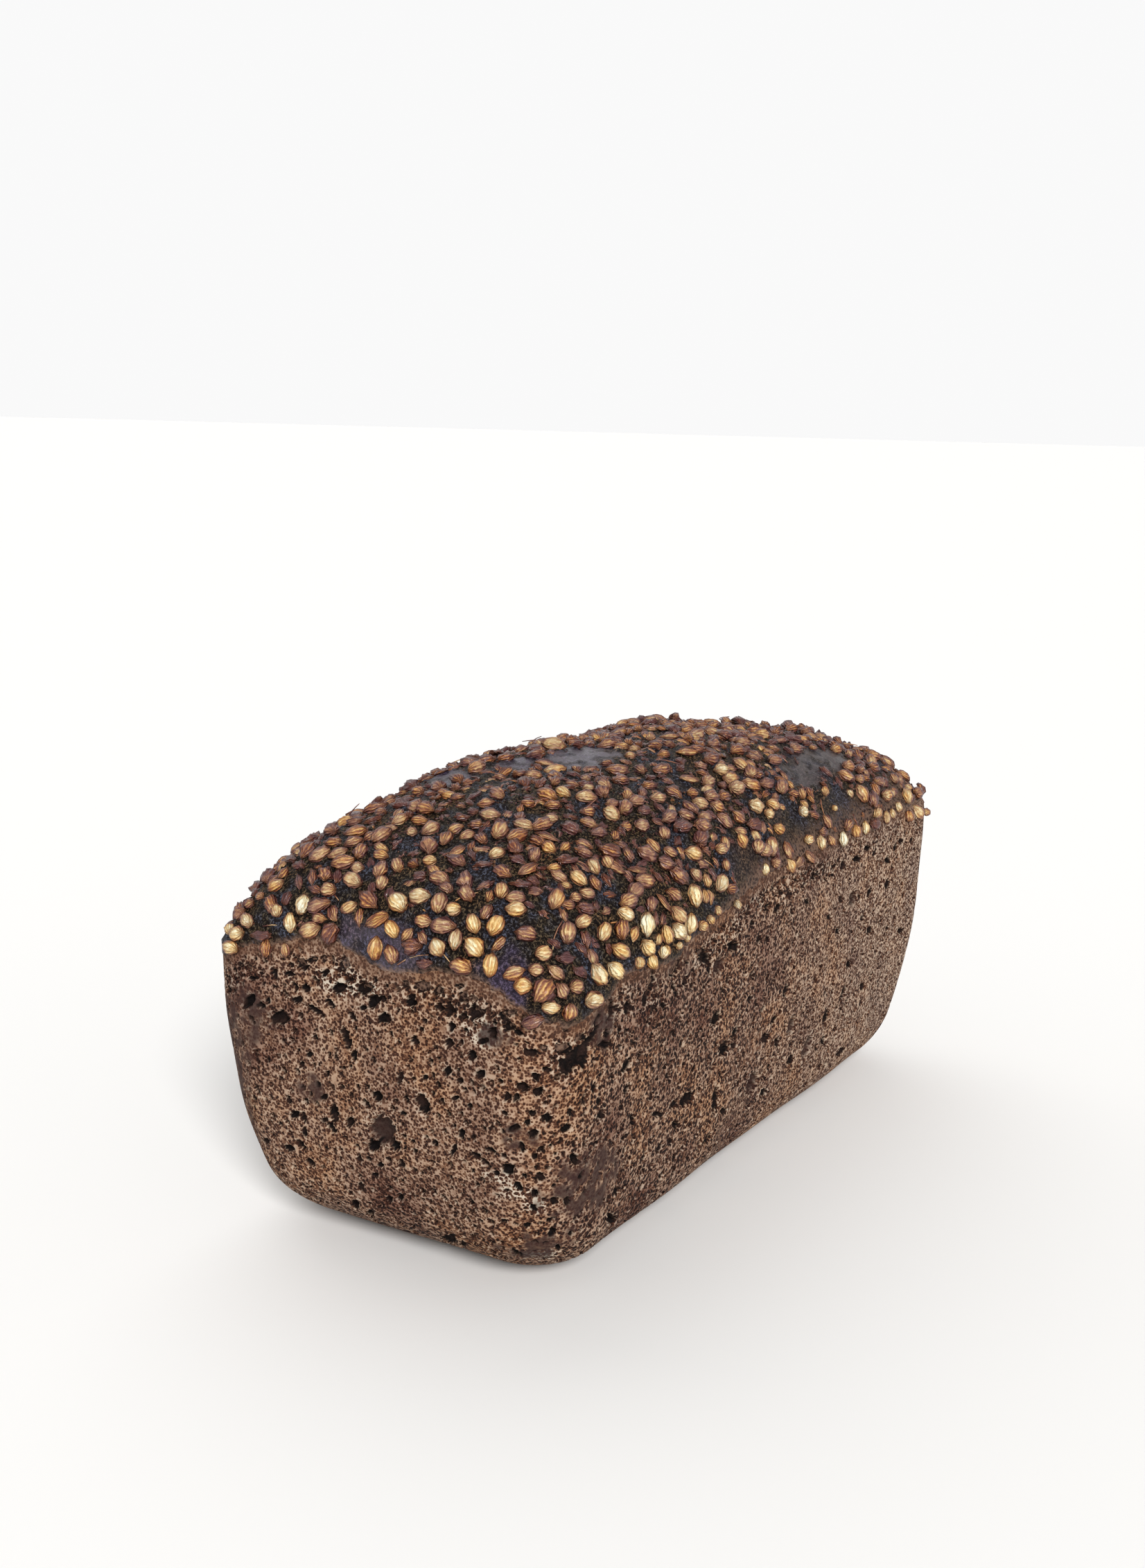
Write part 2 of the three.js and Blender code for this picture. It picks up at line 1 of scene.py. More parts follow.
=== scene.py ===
# %% [markdown]
# # A borodinsky rye loaf
#
# A borodinsky loaf is a dense, dark rye bread. It is baked in a tin, so its walls are straight and
# its lower edges round, and its top domes out of the tin under a nearly black crust that is strewn
# with whole coriander seeds. The walls show the crumb: a foam of fine pores with larger holes.
#
# The solid model already holds the loaf's form and its largest seeds. Here the same form is made
# again as a fine mesh, so that the pores, the crust and every seed can be real shapes.

# %% Load the solid model that everything is fitted to
import math

import bmesh
import bpy
import numpy as np
from mathutils import Matrix, Vector, kdtree, noise


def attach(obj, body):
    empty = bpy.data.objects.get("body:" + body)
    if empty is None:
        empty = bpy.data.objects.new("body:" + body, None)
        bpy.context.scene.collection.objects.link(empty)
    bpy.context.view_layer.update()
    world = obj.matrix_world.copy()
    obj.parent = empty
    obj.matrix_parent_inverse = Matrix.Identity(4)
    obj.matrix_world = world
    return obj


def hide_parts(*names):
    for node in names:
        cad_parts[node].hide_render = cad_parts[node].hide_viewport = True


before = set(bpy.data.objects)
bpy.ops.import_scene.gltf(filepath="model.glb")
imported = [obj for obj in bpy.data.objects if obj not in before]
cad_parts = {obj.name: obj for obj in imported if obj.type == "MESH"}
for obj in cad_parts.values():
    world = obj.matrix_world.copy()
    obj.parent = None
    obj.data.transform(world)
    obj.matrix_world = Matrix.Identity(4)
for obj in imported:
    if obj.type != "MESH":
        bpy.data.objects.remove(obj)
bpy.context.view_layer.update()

MM = 0.001

# %% [markdown]
# ## Camera
#
# The loaf's outline and the rim of its crust fix where the camera stood: low, in front of one end
# and a little to its right. A perspective view needs the place, the direction and the lens. The
# lens is given as its focal length in pixels of the photograph, so it is turned into millimetres
# of Blender's sensor, which spans the longer side of the picture.

# %% Place the camera
PHOTO_HEIGHT_PX = 2262
LENS_PX = 2582.4
SENSOR_MM = 36.0
CAMERA_PLACE = Vector((-358.65, -198.07, 165.43)) * MM
LOOK_TURN = math.radians(30.58)
LOOK_DOWN = math.radians(11.27)
CAMERA_ROLL = math.radians(1.45)

look = Vector((
    math.cos(LOOK_DOWN) * math.cos(LOOK_TURN),
    math.cos(LOOK_DOWN) * math.sin(LOOK_TURN),
    -math.sin(LOOK_DOWN),
))
level_right = Vector((math.sin(LOOK_TURN), -math.cos(LOOK_TURN), 0))
level_up = level_right.cross(look)
right = level_right * math.cos(CAMERA_ROLL) + level_up * math.sin(CAMERA_ROLL)
facing = Matrix((right, right.cross(look), -look)).transposed()

camera_data = bpy.data.cameras.new("camera")
camera_data.sensor_width = SENSOR_MM
camera_data.lens = LENS_PX / PHOTO_HEIGHT_PX * SENSOR_MM
camera_data.clip_start = 0.01
camera_data.clip_end = 200
camera = bpy.data.objects.new("camera", camera_data)
camera.matrix_world = Matrix.Translation(CAMERA_PLACE) @ facing.to_4x4()
bpy.context.scene.collection.objects.link(camera)
bpy.context.scene.camera = camera
print("lens", round(camera_data.lens, 1), "mm")

# %% [markdown]
# ## Colours and nodes
#
# Colours are written as sRGB hex values, as a paint chart gives them, and the shaders work in
# linear light, so one function turns the first into the second. One more function adds a node with
# its settings and its links, which keeps each material readable as a list of steps.

# %% Helpers for materials
MIX_A, MIX_B, MIX_COLOUR = 6, 7, 2


def linear(hex_colour):
    """A linear RGBA colour from an sRGB hex value such as "#7a5c4b"."""
    channels = [int(hex_colour[at:at + 2], 16) / 255 for at in (1, 3, 5)]
    return [c / 12.92 if c <= 0.04045 else ((c + 0.055) / 1.055) ** 2.4 for c in channels] + [1.0]


def add_node(tree, kind, settings=None, links=None):
    """Adds a node, sets its properties and inputs, and links its inputs to other sockets."""
    node = tree.nodes.new(kind)
    for name, value in (settings or {}).items():
        if name == "stops":
            elements = node.color_ramp.elements
            while len(elements) < len(value):
                elements.new(0.5)
            for element, (place, colour) in zip(elements, value):
                element.position = place
                element.color = linear(colour)
        elif isinstance(name, str) and hasattr(node, name):
            setattr(node, name, value)
        else:
            node.inputs[name].default_value = value
    for name, socket in (links or {}).items():
        tree.links.new(socket, node.inputs[name])
    return node


def new_material(name):
    """An empty material and its node tree."""
    material = bpy.data.materials.new(name)
    material.use_nodes = True
    material.node_tree.nodes.clear()
    return material, material.node_tree


# %% [markdown]
# ## Floor and light
#
# The loaf stands on a wide, plain, pale floor. The light is that of a white studio: bright walls all
# round, a darker ceiling, a lamp in front, which lights the near sides of the seeds, and a broad,
# weaker one behind, which gives the crust its sheen. The walls are as bright as the floor, so no
# horizon shows.

# %% Build the floor and the lamps
FLOOR_SIZE = 120.0
WALL_BRIGHTNESS, CEILING_BRIGHTNESS = 0.95, 0.3
WALLS_END, CEILING_STARTS = 0.27, 0.6
LAMPS = {
    "lamp in front": ((-0.66, -0.6, 0.55), 3.0, 18),
    "broad lamp behind": ((0.5, 0.6, 1.0), 0.9, 60),
}

floor_mesh = bmesh.new()
bmesh.ops.create_grid(floor_mesh, x_segments=1, y_segments=1, size=FLOOR_SIZE / 2)
floor_data = bpy.data.meshes.new("floor")
floor_mesh.to_mesh(floor_data)
floor_mesh.free()
floor = bpy.data.objects.new("floor", floor_data)
bpy.context.scene.collection.objects.link(floor)
floor_paint, tree = new_material("pale matt floor paint")
paint = add_node(tree, "ShaderNodeBsdfPrincipled", {
    "Base Color": linear("#f1f0ee"), "Roughness": 0.9, "Specular IOR Level": 0.2,
})
add_node(tree, "ShaderNodeOutputMaterial", links={"Surface": paint.outputs[0]})
floor_data.materials.append(floor_paint)

for name, (direction, strength, spread) in LAMPS.items():
    lamp_data = bpy.data.lights.new(name, "SUN")
    lamp_data.energy = strength
    lamp_data.angle = math.radians(spread)
    lamp = bpy.data.objects.new(name, lamp_data)
    lamp.rotation_mode = "QUATERNION"
    lamp.rotation_quaternion = (-Vector(direction)).to_track_quat("-Z", "Y")
    bpy.context.scene.collection.objects.link(lamp)

world = bpy.data.worlds.new("white studio")
world.use_nodes = True
tree = world.node_tree
tree.nodes.clear()
direction = add_node(tree, "ShaderNodeTexCoord").outputs["Generated"]
steepness = add_node(tree, "ShaderNodeSeparateXYZ", links={0: direction}).outputs["Z"]
brightness = add_node(tree, "ShaderNodeMapRange", {
    "interpolation_type": "SMOOTHSTEP",
    1: WALLS_END, 2: CEILING_STARTS, 3: WALL_BRIGHTNESS, 4: CEILING_BRIGHTNESS,
}, {0: steepness}).outputs[0]
sky = add_node(tree, "ShaderNodeBackground", {"Color": linear("#ffffff")}, {"Strength": brightness})
add_node(tree, "ShaderNodeOutputWorld", links={"Surface": sky.outputs[0]})
bpy.context.scene.world = world
bpy.context.scene.view_settings.view_transform = "Standard"

# %% [markdown]
# ## The loaf's form
#
# The tin gives the walls: a rounded rectangle in plan that widens from the foot up to the flare
# height. The oven gives the dome: a height over the plan that climbs steeply from the rim and is
# nearly flat on the crown. One function, `outside`, says how far any place lies outside the loaf,
# and every surface here is found with it: a place on a box round the loaf is drawn in towards the
# core until it meets the skin. The same function and sizes, in millimetres, made the solid model.

# %% Sizes and form of the loaf, in millimetres
RIM_LENGTH, RIM_WIDTH = 196.8, 84.0
FOOT_LENGTH, FOOT_WIDTH = 167.8, 73.6
FLARE_HEIGHT = 60.0
END_FLARE_POWER, SIDE_FLARE_POWER = 3.2, 2.65
FOOT_CORNER_RADIUS, RIM_CORNER_RADIUS = 17.3, 11.8
BASE_ROUNDING = 14.2
RIM_NEAR_RIGHT, RIM_NEAR_LEFT, RIM_FAR_RIGHT, RIM_FAR_LEFT = 57.9, 54.1, 65.1, 61.5
END_RIM_RISE, SIDE_RIM_RISE = 10.4, 7.0
CROWN_HEIGHT, CROWN_SLOPE = 93.4, -0.015
DOME_ALONG_POWER, DOME_ALONG_EDGE = 2.75, 0.386
DOME_ACROSS_POWER, DOME_ACROSS_EDGE = 3.0, 0.607
LUMP_DEPTH, DOME_LUMP_DEPTH, LUMP_FADE_HEIGHT = 0.55, 1.1, 12.0
SIDE_HOLLOW_X, SIDE_HOLLOW_DEPTH, SIDE_HOLLOW_HALF_LENGTH, SIDE_HOLLOW_HEIGHT = -12, 1.1, 21, 26
SHELL_HALF_LENGTH, SHELL_HALF_WIDTH, SHELL_HEIGHT = 100.0, 44.0, 100.0
CORE_LOW, CORE_HIGH = np.array((-60.0, -8.0, 32.0)), np.array((60.0, 8.0, 52.0))
HALVINGS = 28
FARTHEST_REACH = 1.6


def mix(low, high, share):
    return low + (high - low) * share


def ease(low, high, value):
    """Climbs smoothly from 0 at low to 1 at high."""
    share = np.clip((value - low) / (high - low), 0, 1)
    return share * share * (3 - 2 * share)


def rim_height(x, y):
    """Height at which the wall beside a place turns into the dome."""
    along = np.clip(x / (RIM_LENGTH / 2), -1, 1)
    across = np.clip(y / (RIM_WIDTH / 2), -1, 1)
    right_side = mix(RIM_NEAR_RIGHT, RIM_FAR_RIGHT, (along + 1) / 2)
    left_side = mix(RIM_NEAR_LEFT, RIM_FAR_LEFT, (along + 1) / 2)
    end_rise = END_RIM_RISE * (1 - across ** 2) * along ** 2
    side_rise = SIDE_RIM_RISE * (1 - along ** 2) * across ** 2
    return mix(right_side, left_side, (across + 1) / 2) + end_rise + side_rise


def dome_height(x, y):
    along = np.abs(np.clip(x / (RIM_LENGTH / 2), -1, 1))
    across = np.abs(np.clip(y / (RIM_WIDTH / 2), -1, 1))
    rise_along = (1 - along ** DOME_ALONG_POWER) ** DOME_ALONG_EDGE
    rise_across = (1 - across ** DOME_ACROSS_POWER) ** DOME_ACROSS_EDGE
    rim = rim_height(x, y)
    return rim + (CROWN_HEIGHT + CROWN_SLOPE * x - rim) * rise_along * rise_across


def unevenness(x, y, z):
    """Slow lumps of the dough, and the hollow that the tin left low on the right side."""
    slow = np.sin(x / 11 + 0.7) * np.sin(y / 9 + z / 13 + 1.9)
    quick = np.sin(x / 6.5 - z / 7 + 2.3) * np.sin(y / 6 + z / 9 + 0.4)
    on_dome = np.clip((z - 62) / 15, 0, 1)
    fade = np.clip(z / LUMP_FADE_HEIGHT, 0, 1)
    lumps = mix(LUMP_DEPTH, DOME_LUMP_DEPTH, on_dome) * (0.6 * slow + 0.4 * quick) * fade
    near = np.exp(-((x - SIDE_HOLLOW_X) / SIDE_HOLLOW_HALF_LENGTH) ** 2)
    low = np.exp(-(z / SIDE_HOLLOW_HEIGHT) ** 2) * fade
    return np.where(y < 0, SIDE_HOLLOW_DEPTH * near * low, 0) - lumps


def outside(places):
    """How far each place lies outside the loaf, below zero inside it."""
    x, y, z = places.T
    share = np.clip(1 - z / FLARE_HEIGHT, 0, 1)
    half_length = mix(RIM_LENGTH, FOOT_LENGTH, share ** END_FLARE_POWER) / 2
    half_width = mix(RIM_WIDTH, FOOT_WIDTH, share ** SIDE_FLARE_POWER) / 2
    corner = mix(RIM_CORNER_RADIUS, FOOT_CORNER_RADIUS, share)
    past_length = np.abs(x) - (half_length - corner)
    past_width = np.abs(y) - (half_width - corner)
    past_corner = np.hypot(np.maximum(past_length, 0), np.maximum(past_width, 0))
    past_wall = past_corner + np.minimum(np.maximum(past_length, past_width), 0) - corner
    rounded = np.hypot(np.maximum(past_wall + BASE_ROUNDING, 0), np.maximum(BASE_ROUNDING - z, 0))
    past_body = np.minimum(-BASE_ROUNDING, np.maximum(past_wall, -z)) + rounded
    return np.maximum(past_body, z - dome_height(x, y)) + unevenness(x, y, z)


def on_skin(shell_places):
    """The places on the skin between the core and places on the shell."""
    start = np.clip(shell_places, CORE_LOW, CORE_HIGH)
    reach = shell_places - start
    near = np.zeros(len(shell_places))
    far = np.full(len(shell_places), FARTHEST_REACH)
    for _ in range(HALVINGS):
        middle = (near + far) / 2
        inside = outside(start + reach * middle[:, None]) < 0
        near = np.where(inside, middle, near)
        far = np.where(inside, far, middle)
    return start + reach * near[:, None]


def skin_normals(places, step=0.5):
    """Which way the skin faces at each place."""
    slopes = [outside(places + shift) - outside(places - shift) for shift in np.eye(3) * step]
    normals = np.stack(slopes, axis=1)
    return normals / np.linalg.norm(normals, axis=1, keepdims=True)


crown = on_skin(np.array([[0.0, 0.0, SHELL_HEIGHT]]))[0]
print("the crown is", round(crown[2], 1), "mm high")

# %% [markdown]
# The dark crust doesn't end exactly where the wall turns. Its border wanders up and down round the
# loaf, and on the near end and the right side it was measured. Each stop gives a bearing round the
# loaf's middle in degrees and how many millimetres the border lies above the turn of the wall.

# %% Border of the crust
BORDER_STOPS = [
    (0, 1.0), (20, -0.8), (35, 1.8), (50, 2.5), (70, 1.0), (90, -0.4), (110, 1.6), (130, 2.4),
    (141, 3.2), (147, 3.3), (153, 2.4), (159, 2.9), (170, 2.0), (176, -0.3), (182, -2.0),
    (189, -1.6), (200, 0.3), (208, 1.8), (216, 2.5), (220, 1.4), (224, -0.6), (229, -0.9),
    (231, -0.2), (233, 2.4), (235, 1.1), (239, -1.3), (242, -2.6), (246, -1.3), (252, -0.5),
    (258, 0.7), (262, 2.3), (286, 1.6), (301, 2.6), (314, 3.6), (335, 1.6), (360, 1.0),
]


def border_height(x, y):
    """Height of the crust's border beside a place."""
    bearing = np.degrees(np.arctan2(y / RIM_WIDTH, x / RIM_LENGTH)) % 360
    return rim_height(x, y) + np.interp(bearing, *zip(*BORDER_STOPS))


def oval_reach(places, middle, half):
    """How far each place lies from an oval's middle, 1 at its uneven edge."""
    x, y, z = places.T
    waver = 0.22 * np.sin(x / 2.3 + z / 3) * np.cos(y / 1.9 - z / 4) + 0.14 * np.sin(x - y * 0.8)
    return np.linalg.norm((places - middle) / half, axis=1) + waver


def patch_share(places, patches):
    """How far each place lies inside any of some soft, uneven ovals, from 0 to 1."""
    share = np.zeros(len(places))
    for middle, half in patches:
        share = np.maximum(share, ease(1.2, 0.7, oval_reach(places, middle, half)))
    return share


# %% [markdown]
# ## Marks
#
# Seeds and holes that can be told apart were marked in magnified crops of the photograph.
# A mark says, in the crop's own pixels, where the middle lies and how long and wide the shape
# looks, and how far it is turned, in degrees clockwise from level. Each crop comes with the
# photograph's pixel at its corner and its magnification.
#
# A line of sight through a mark meets the loaf where the seed or the hole lies. What looks short
# there because it is seen at a slant gets its length back. The camera above has rounded numbers.
# The lines of sight use them as they were fitted, because the thrown seeds and holes depend on
# every tenth of a millimetre of the marked ones.

# %% Lines of sight
PHOTO_MIDDLE_PX = (826, 1131)
FITTED_LENS_PX = 2582.363
EYE = np.array((-358.649, -198.067, 165.433))
AHEAD = np.array((0.84431, 0.49894, -0.19544))
RIGHTWARD = np.array((0.51284345, -0.85812392, 0.02479799))
UPWARD = np.array((0.15534079, 0.1211684, 0.98040168))
SIGHT_STARTS, SIGHT_ENDS, SIGHT_STEPS = 180, 620, 1761


def read_marks(crops, numbers):
    """The photograph's pixel, the magnification and the other numbers of every mark."""
    for corner, magnification, text in crops:
        for mark in np.array(text.split(), float).reshape(-1, numbers):
            yield corner + mark[:2] / magnification, magnification, mark[2:]


def line_of_sight(pixel):
    """Direction from the camera through a pixel of the photograph."""
    across, down = pixel - PHOTO_MIDDLE_PX
    way = AHEAD * FITTED_LENS_PX + RIGHTWARD * across - UPWARD * down
    return way / np.linalg.norm(way)


def sighted(pixel, above=0.0):
    """The place where a line of sight comes within a height above the skin, if it does."""
    way = line_of_sight(pixel)
    steps = np.linspace(SIGHT_STARTS, SIGHT_ENDS, SIGHT_STEPS)
    within = np.flatnonzero(outside(EYE + way * steps[:, None]) < above)
    if not len(within):
        return None
    near, far = steps[within[0] - 1], steps[within[0]]
    for _ in range(HALVINGS):
        middle = (near + far) / 2
        if outside((EYE + way * middle)[None])[0] < above:
            far = middle
        else:
            near = middle
    return EYE + way * near


# %% [markdown]
# ## Chance that can be repeated
#
# Seeds and pores lie at random, but each run has to give the same loaf. A short formula turns one
# whole number into the next, and each is read as a share from 0 to 1.

# %% A repeatable row of random shares
DRAW_FACTOR, DRAW_MODULUS = 48271, 2147483647


def draws(start, count, per_item):
    """A table of repeatable random shares, one row for each item."""
    state = start
    shares = np.empty(count * per_item)
    for index in range(len(shares)):
        state = state * DRAW_FACTOR % DRAW_MODULUS
        shares[index] = state / DRAW_MODULUS
    return shares.reshape(count, per_item)


# %% [markdown]
# ## Holes of the crumb
#
# Rye crumb is a foam. Its finest pores touch each other all over, and between them lie round holes
# of one to two millimetres where bubbles grew together, and a few torn cavities. Under the rim
# the crust has pulled away from the dough, which leaves a belt of ragged holes. The darkness
# inside every pore and hole is painted shade.
#
# Holes that can be told apart were marked. A mark has five whole numbers: the two of its
# middle, half its length, half its height and its turn. Eleven more, which the first pictures
# lacked or had too small, were given in millimetres: place, half length, half height and
# turn. All others are left to chance.

# %% Choose the holes
HOLE_CROPS = [
    ((320, 1290), 5.2267, """
395 600 55 22 75  505 600 33 24 10  630 712 42 28 10  560 800 42 28 0  680 495 42 18 160
830 495 26 20 90  920 530 55 34 100  775 600 36 24 130  875 710 52 38 150  965 715 24 20 0
1070 710 60 45 160  1135 810 58 45 120  1060 860 26 20 0  815 825 42 24 40  980 920 42 18 45
1220 935 50 40 0  1495 1020 26 20 60  1450 1110 36 24 60  920 1060 55 32 70  430 935 68 52 0
200 810 65 38 120  705 880 80 20 33  550 695 45 14 60  1380 680 32 22 0  1505 700 62 40 0
1420 805 48 38 90  1210 790 28 22 0  950 650 26 18 150  290 840 24 30 90
"""),
    ((560, 1290), 4.6118, """
335 755 30 26 30  400 770 45 30 100  495 690 32 40 0  570 785 44 36 90  560 700 26 22 0
690 925 40 32 90  630 978 36 20 0  400 990 32 26 90  415 885 32 22 100  555 1075 38 26 110
810 790 40 26 0  770 830 50 20 45  800 885 40 28 0  950 1058 48 24 0  1175 1035 58 42 0
1300 1080 74 38 90  1190 890 24 34 0  1290 960 40 24 150  1045 1030 28 20 20  1460 930 20 32 0
470 610 30 18 0  620 790 26 20 90  1195 1120 62 34 160
"""),
    ((320, 1500), 5.2267, """
945 30 40 28 70  990 120 42 24 90  655 115 28 18 130  265 375 40 14 65  500 455 34 20 80
765 437 28 26 0  545 565 30 38 90  615 590 38 18 75  840 560 66 34 85  770 612 30 20 0
825 665 50 22 50  963 625 40 32 110  1165 430 52 34 40  1085 490 34 22 60  1340 290 46 20 105
1510 490 82 46 70  1205 690 115 88 70  1140 805 48 44 0  1300 800 50 36 45  1350 940 42 26 60
1035 900 32 18 80  1195 950 24 20 0  1050 1110 34 20 90  1155 1025 26 20 0  1255 1205 28 26 30
1345 1190 34 20 80  1005 1250 34 26 80  1120 1315 30 24 20  590 790 46 24 45  505 820 40 24 10
665 930 38 26 45  620 700 42 20 75  325 765 26 20 60
"""),
    ((600, 1520), 5.058, """
225 125 36 28 120  465 150 34 30 0  590 112 26 20 60  320 200 24 20 20  612 205 24 20 0
280 330 24 20 0  185 352 24 22 0  390 383 22 20 0  325 447 22 20 0  157 458 22 20 0
780 250 48 34 20  880 175 38 26 50  965 120 36 20 10  660 320 34 24 110  730 330 34 26 80
895 280 44 34 0  850 437 32 22 30  960 470 36 30 0  1130 435 30 20 80  1100 547 38 28 150
720 550 44 26 160  860 590 38 34 0  330 590 38 22 80  140 660 26 22 70  270 705 50 16 110
535 708 44 18 20  430 745 38 24 10  500 800 50 18 40  670 850 50 40 20  775 690 36 22 80
915 705 28 24 0  750 975 40 26 60  1165 780 46 36 60  860 1130 36 22 60  545 1230 28 20 45
640 1228 24 18 0  995 1310 34 28 100  1040 1420 28 18 80  1435 1210 44 34 70  1465 1005 30 20 110
240 1365 60 34 20  345 1395 26 20 60  740 1460 50 18 30  1230 340 48 20 100  1305 250 36 18 90
"""),
    ((860, 1360), 5.2267, """
245 500 56 30 90  420 310 70 18 120  370 430 60 16 95  400 590 28 14 110  515 475 22 20 0
590 330 30 18 80  730 325 28 16 90  820 100 60 44 60  860 160 80 18 90  930 170 70 40 110
1040 30 44 40 0  1000 285 28 16 90  1165 420 20 18 0  840 510 24 16 90  910 570 62 28 120
970 800 66 34 115  1050 680 50 20 110  1040 780 24 20 0  1180 1060 90 34 110  1265 1130 36 24 120
905 1180 110 24 95  965 1270 24 20 0  690 1180 70 36 130  590 1220 40 24 130  550 1005 30 16 90
235 930 66 26 120  235 1110 40 18 110  75 770 50 30 0  180 660 16 34 0  280 1335 44 20 95
40 1300 50 26 120  475 1295 50 20 0  605 1380 40 20 70  565 1495 26 16 90  480 1550 40 18 110
840 1480 60 16 120  1280 720 36 26 110  1345 590 40 20 120
"""),
    ((1060, 1180), 4.3556, """
275 570 34 20 110  460 530 24 14 90  685 300 34 18 100  775 260 26 22 0  840 190 22 18 0
1048 148 20 18 0  965 265 24 18 100  965 415 34 18 100  850 470 30 14 110  745 510 50 22 100
670 510 20 14 90  595 625 20 14 90  650 710 22 16 90  850 710 30 18 100  1045 710 20 18 0
505 370 40 12 135  155 765 28 14 90  720 920 24 16 100  325 1090 44 16 105  685 1100 56 14 110
805 1060 26 16 100  575 1250 54 16 105  270 1410 26 16 90  360 1310 60 22 105  460 1440 90 22 110
355 1520 34 20 110  670 1470 40 18 130  560 1400 30 14 110
"""),
]
HOLES_SET = [
    (-77.9, -42.0, 59.4, 2.1, 0.9, 137), (-90.1, -40.9, 51.5, 2.7, 1.8, 50),
    (-87.2, -41.2, 53.6, 2.0, 0.9, 45), (-83.8, -41.6, 55.3, 2.4, 0.8, 40),
    (-77.5, -42.0, 57.5, 2.0, 0.7, 30), (-98.4, 28.6, 52.0, 1.2, 0.6, 60),
    (-98.3, 28.5, 48.4, 1.0, 0.5, -50), (-86.8, -41.7, 53.0, 2.6, 1.5, 60),
    (-63.7, -42.3, 58.8, 3.8, 0.9, 65), (-52.6, -42.2, 60.3, 3.0, 1.3, 20),
    (-83.0, -41.8, 57.8, 1.5, 0.7, 45),
]

# Holes of the hidden walls, which the solid model has too
HIDDEN_HOLES = [
    (98, 12, 44, 2.3, 2.0, 40), (98, -16, 34, 1.9, 1.7, 20), (97, -2, 56, 2.5, 1.4, 10),
    (52, 42, 50, 2.2, 2.0, 60), (10, 41, 30, 2.5, 1.8, 75), (-30, 42, 46, 2.2, 1.7, 40),
    (-66, 42, 34, 2.1, 1.7, 30),
]
HOLE_START = 977
HOLE_TRIES = 7000
HOLE_LOWEST, HOLE_HIGHEST, UNDER_BASE_REACH = -6.0, 72.0, 24
HOLE_SPACING, CREVICE_SPACING, LEAST_GAP = 1.15, 0.85, 0.3
HOLE_BELOW_BORDER, CREVICE_HIGHEST, CREVICE_LOWEST = 1.5, 2.2, 8.5
NEAR_END_X, RIGHT_SIDE_Y = -88, -34
SIGHT_SPREAD_PX = 1.5
THINNEST_HALF_HOLE = 0.35
HOLE_LEAST, HOLE_MOST_END, HOLE_MOST_SIDE, HOLE_MOST_HIDDEN = 0.42, 0.75, 1.05, 2.0
CREVICE_COUNT, END_CREVICE_SIZE, SIDE_CREVICE_SIZE = 900, 0.8, 0.65
TORN_FOAM_SHARE = 0.7
DEEPEST_HOLE = 1.7
# Holes higher than this are hollows whose floor shows, so less shade is painted into them
WIDE_HOLLOW, HOLLOW_DEPTH, HOLLOW_SHADE = 1.9, 2.0, 0.42
SMALL_HOLE, PALEST_HOLE = 0.95, 0.45


def perimeter_place(share):
    """A place on the shell's upright sides, for a share of the way round from the far end."""
    length, width = 2 * SHELL_HALF_LENGTH, 2 * SHELL_HALF_WIDTH
    way = (np.asarray(share) % 1.0) * 2 * (length + width)
    stops = np.cumsum([0, width / 2, length, width, length, width / 2])
    x = np.interp(way, stops, [1, 1, -1, -1, 1, 1]) * SHELL_HALF_LENGTH
    y = np.interp(way, stops, [0, 1, 1, -1, -1, 0]) * SHELL_HALF_WIDTH
    return x, y


def is_seen(x, y):
    """Whether a place on a wall belongs to the near end or the right side."""
    return (x < NEAR_END_X) | (y < RIGHT_SIDE_Y)


def add_apart(rows, candidates, spacing):
    """Adds every candidate that lies apart from the holes before it."""
    for candidate in candidates:
        others = np.array(rows)
        distance = np.linalg.norm(others[:, :3] - candidate[:3], axis=1)
        if np.all(distance > spacing * (others[:, 3] + candidate[3]) + LEAST_GAP):
            rows.append(candidate)


def hole_from_mark(pixel, magnification, numbers):
    """A hole's place, half length and half height in millimetres and turn in degrees."""
    half_long, half_high, turn = numbers[0], numbers[1], math.radians(numbers[2])
    place = sighted(pixel)
    normal = skin_normals(place[None])[0]
    level = np.cross((0, 0, 1), normal)
    level /= np.linalg.norm(level)
    upward = np.cross(normal, level)
    moves = [sighted(pixel + step) - sighted(pixel - step) for step in SIGHT_SPREAD_PX * np.eye(2)]
    on_wall = np.array((level, upward)) @ np.transpose(moves) / (2 * SIGHT_SPREAD_PX)
    spin = np.array(((math.cos(turn), -math.sin(turn)), (math.sin(turn), math.cos(turn))))
    axes, halves, _ = np.linalg.svd(on_wall @ spin * (half_long, half_high) / magnification)
    turned = math.degrees(math.atan2(axes[1, 0], axes[0, 0])) % 180
    return *place, halves[0], max(halves[1], THINNEST_HALF_HOLE), turned


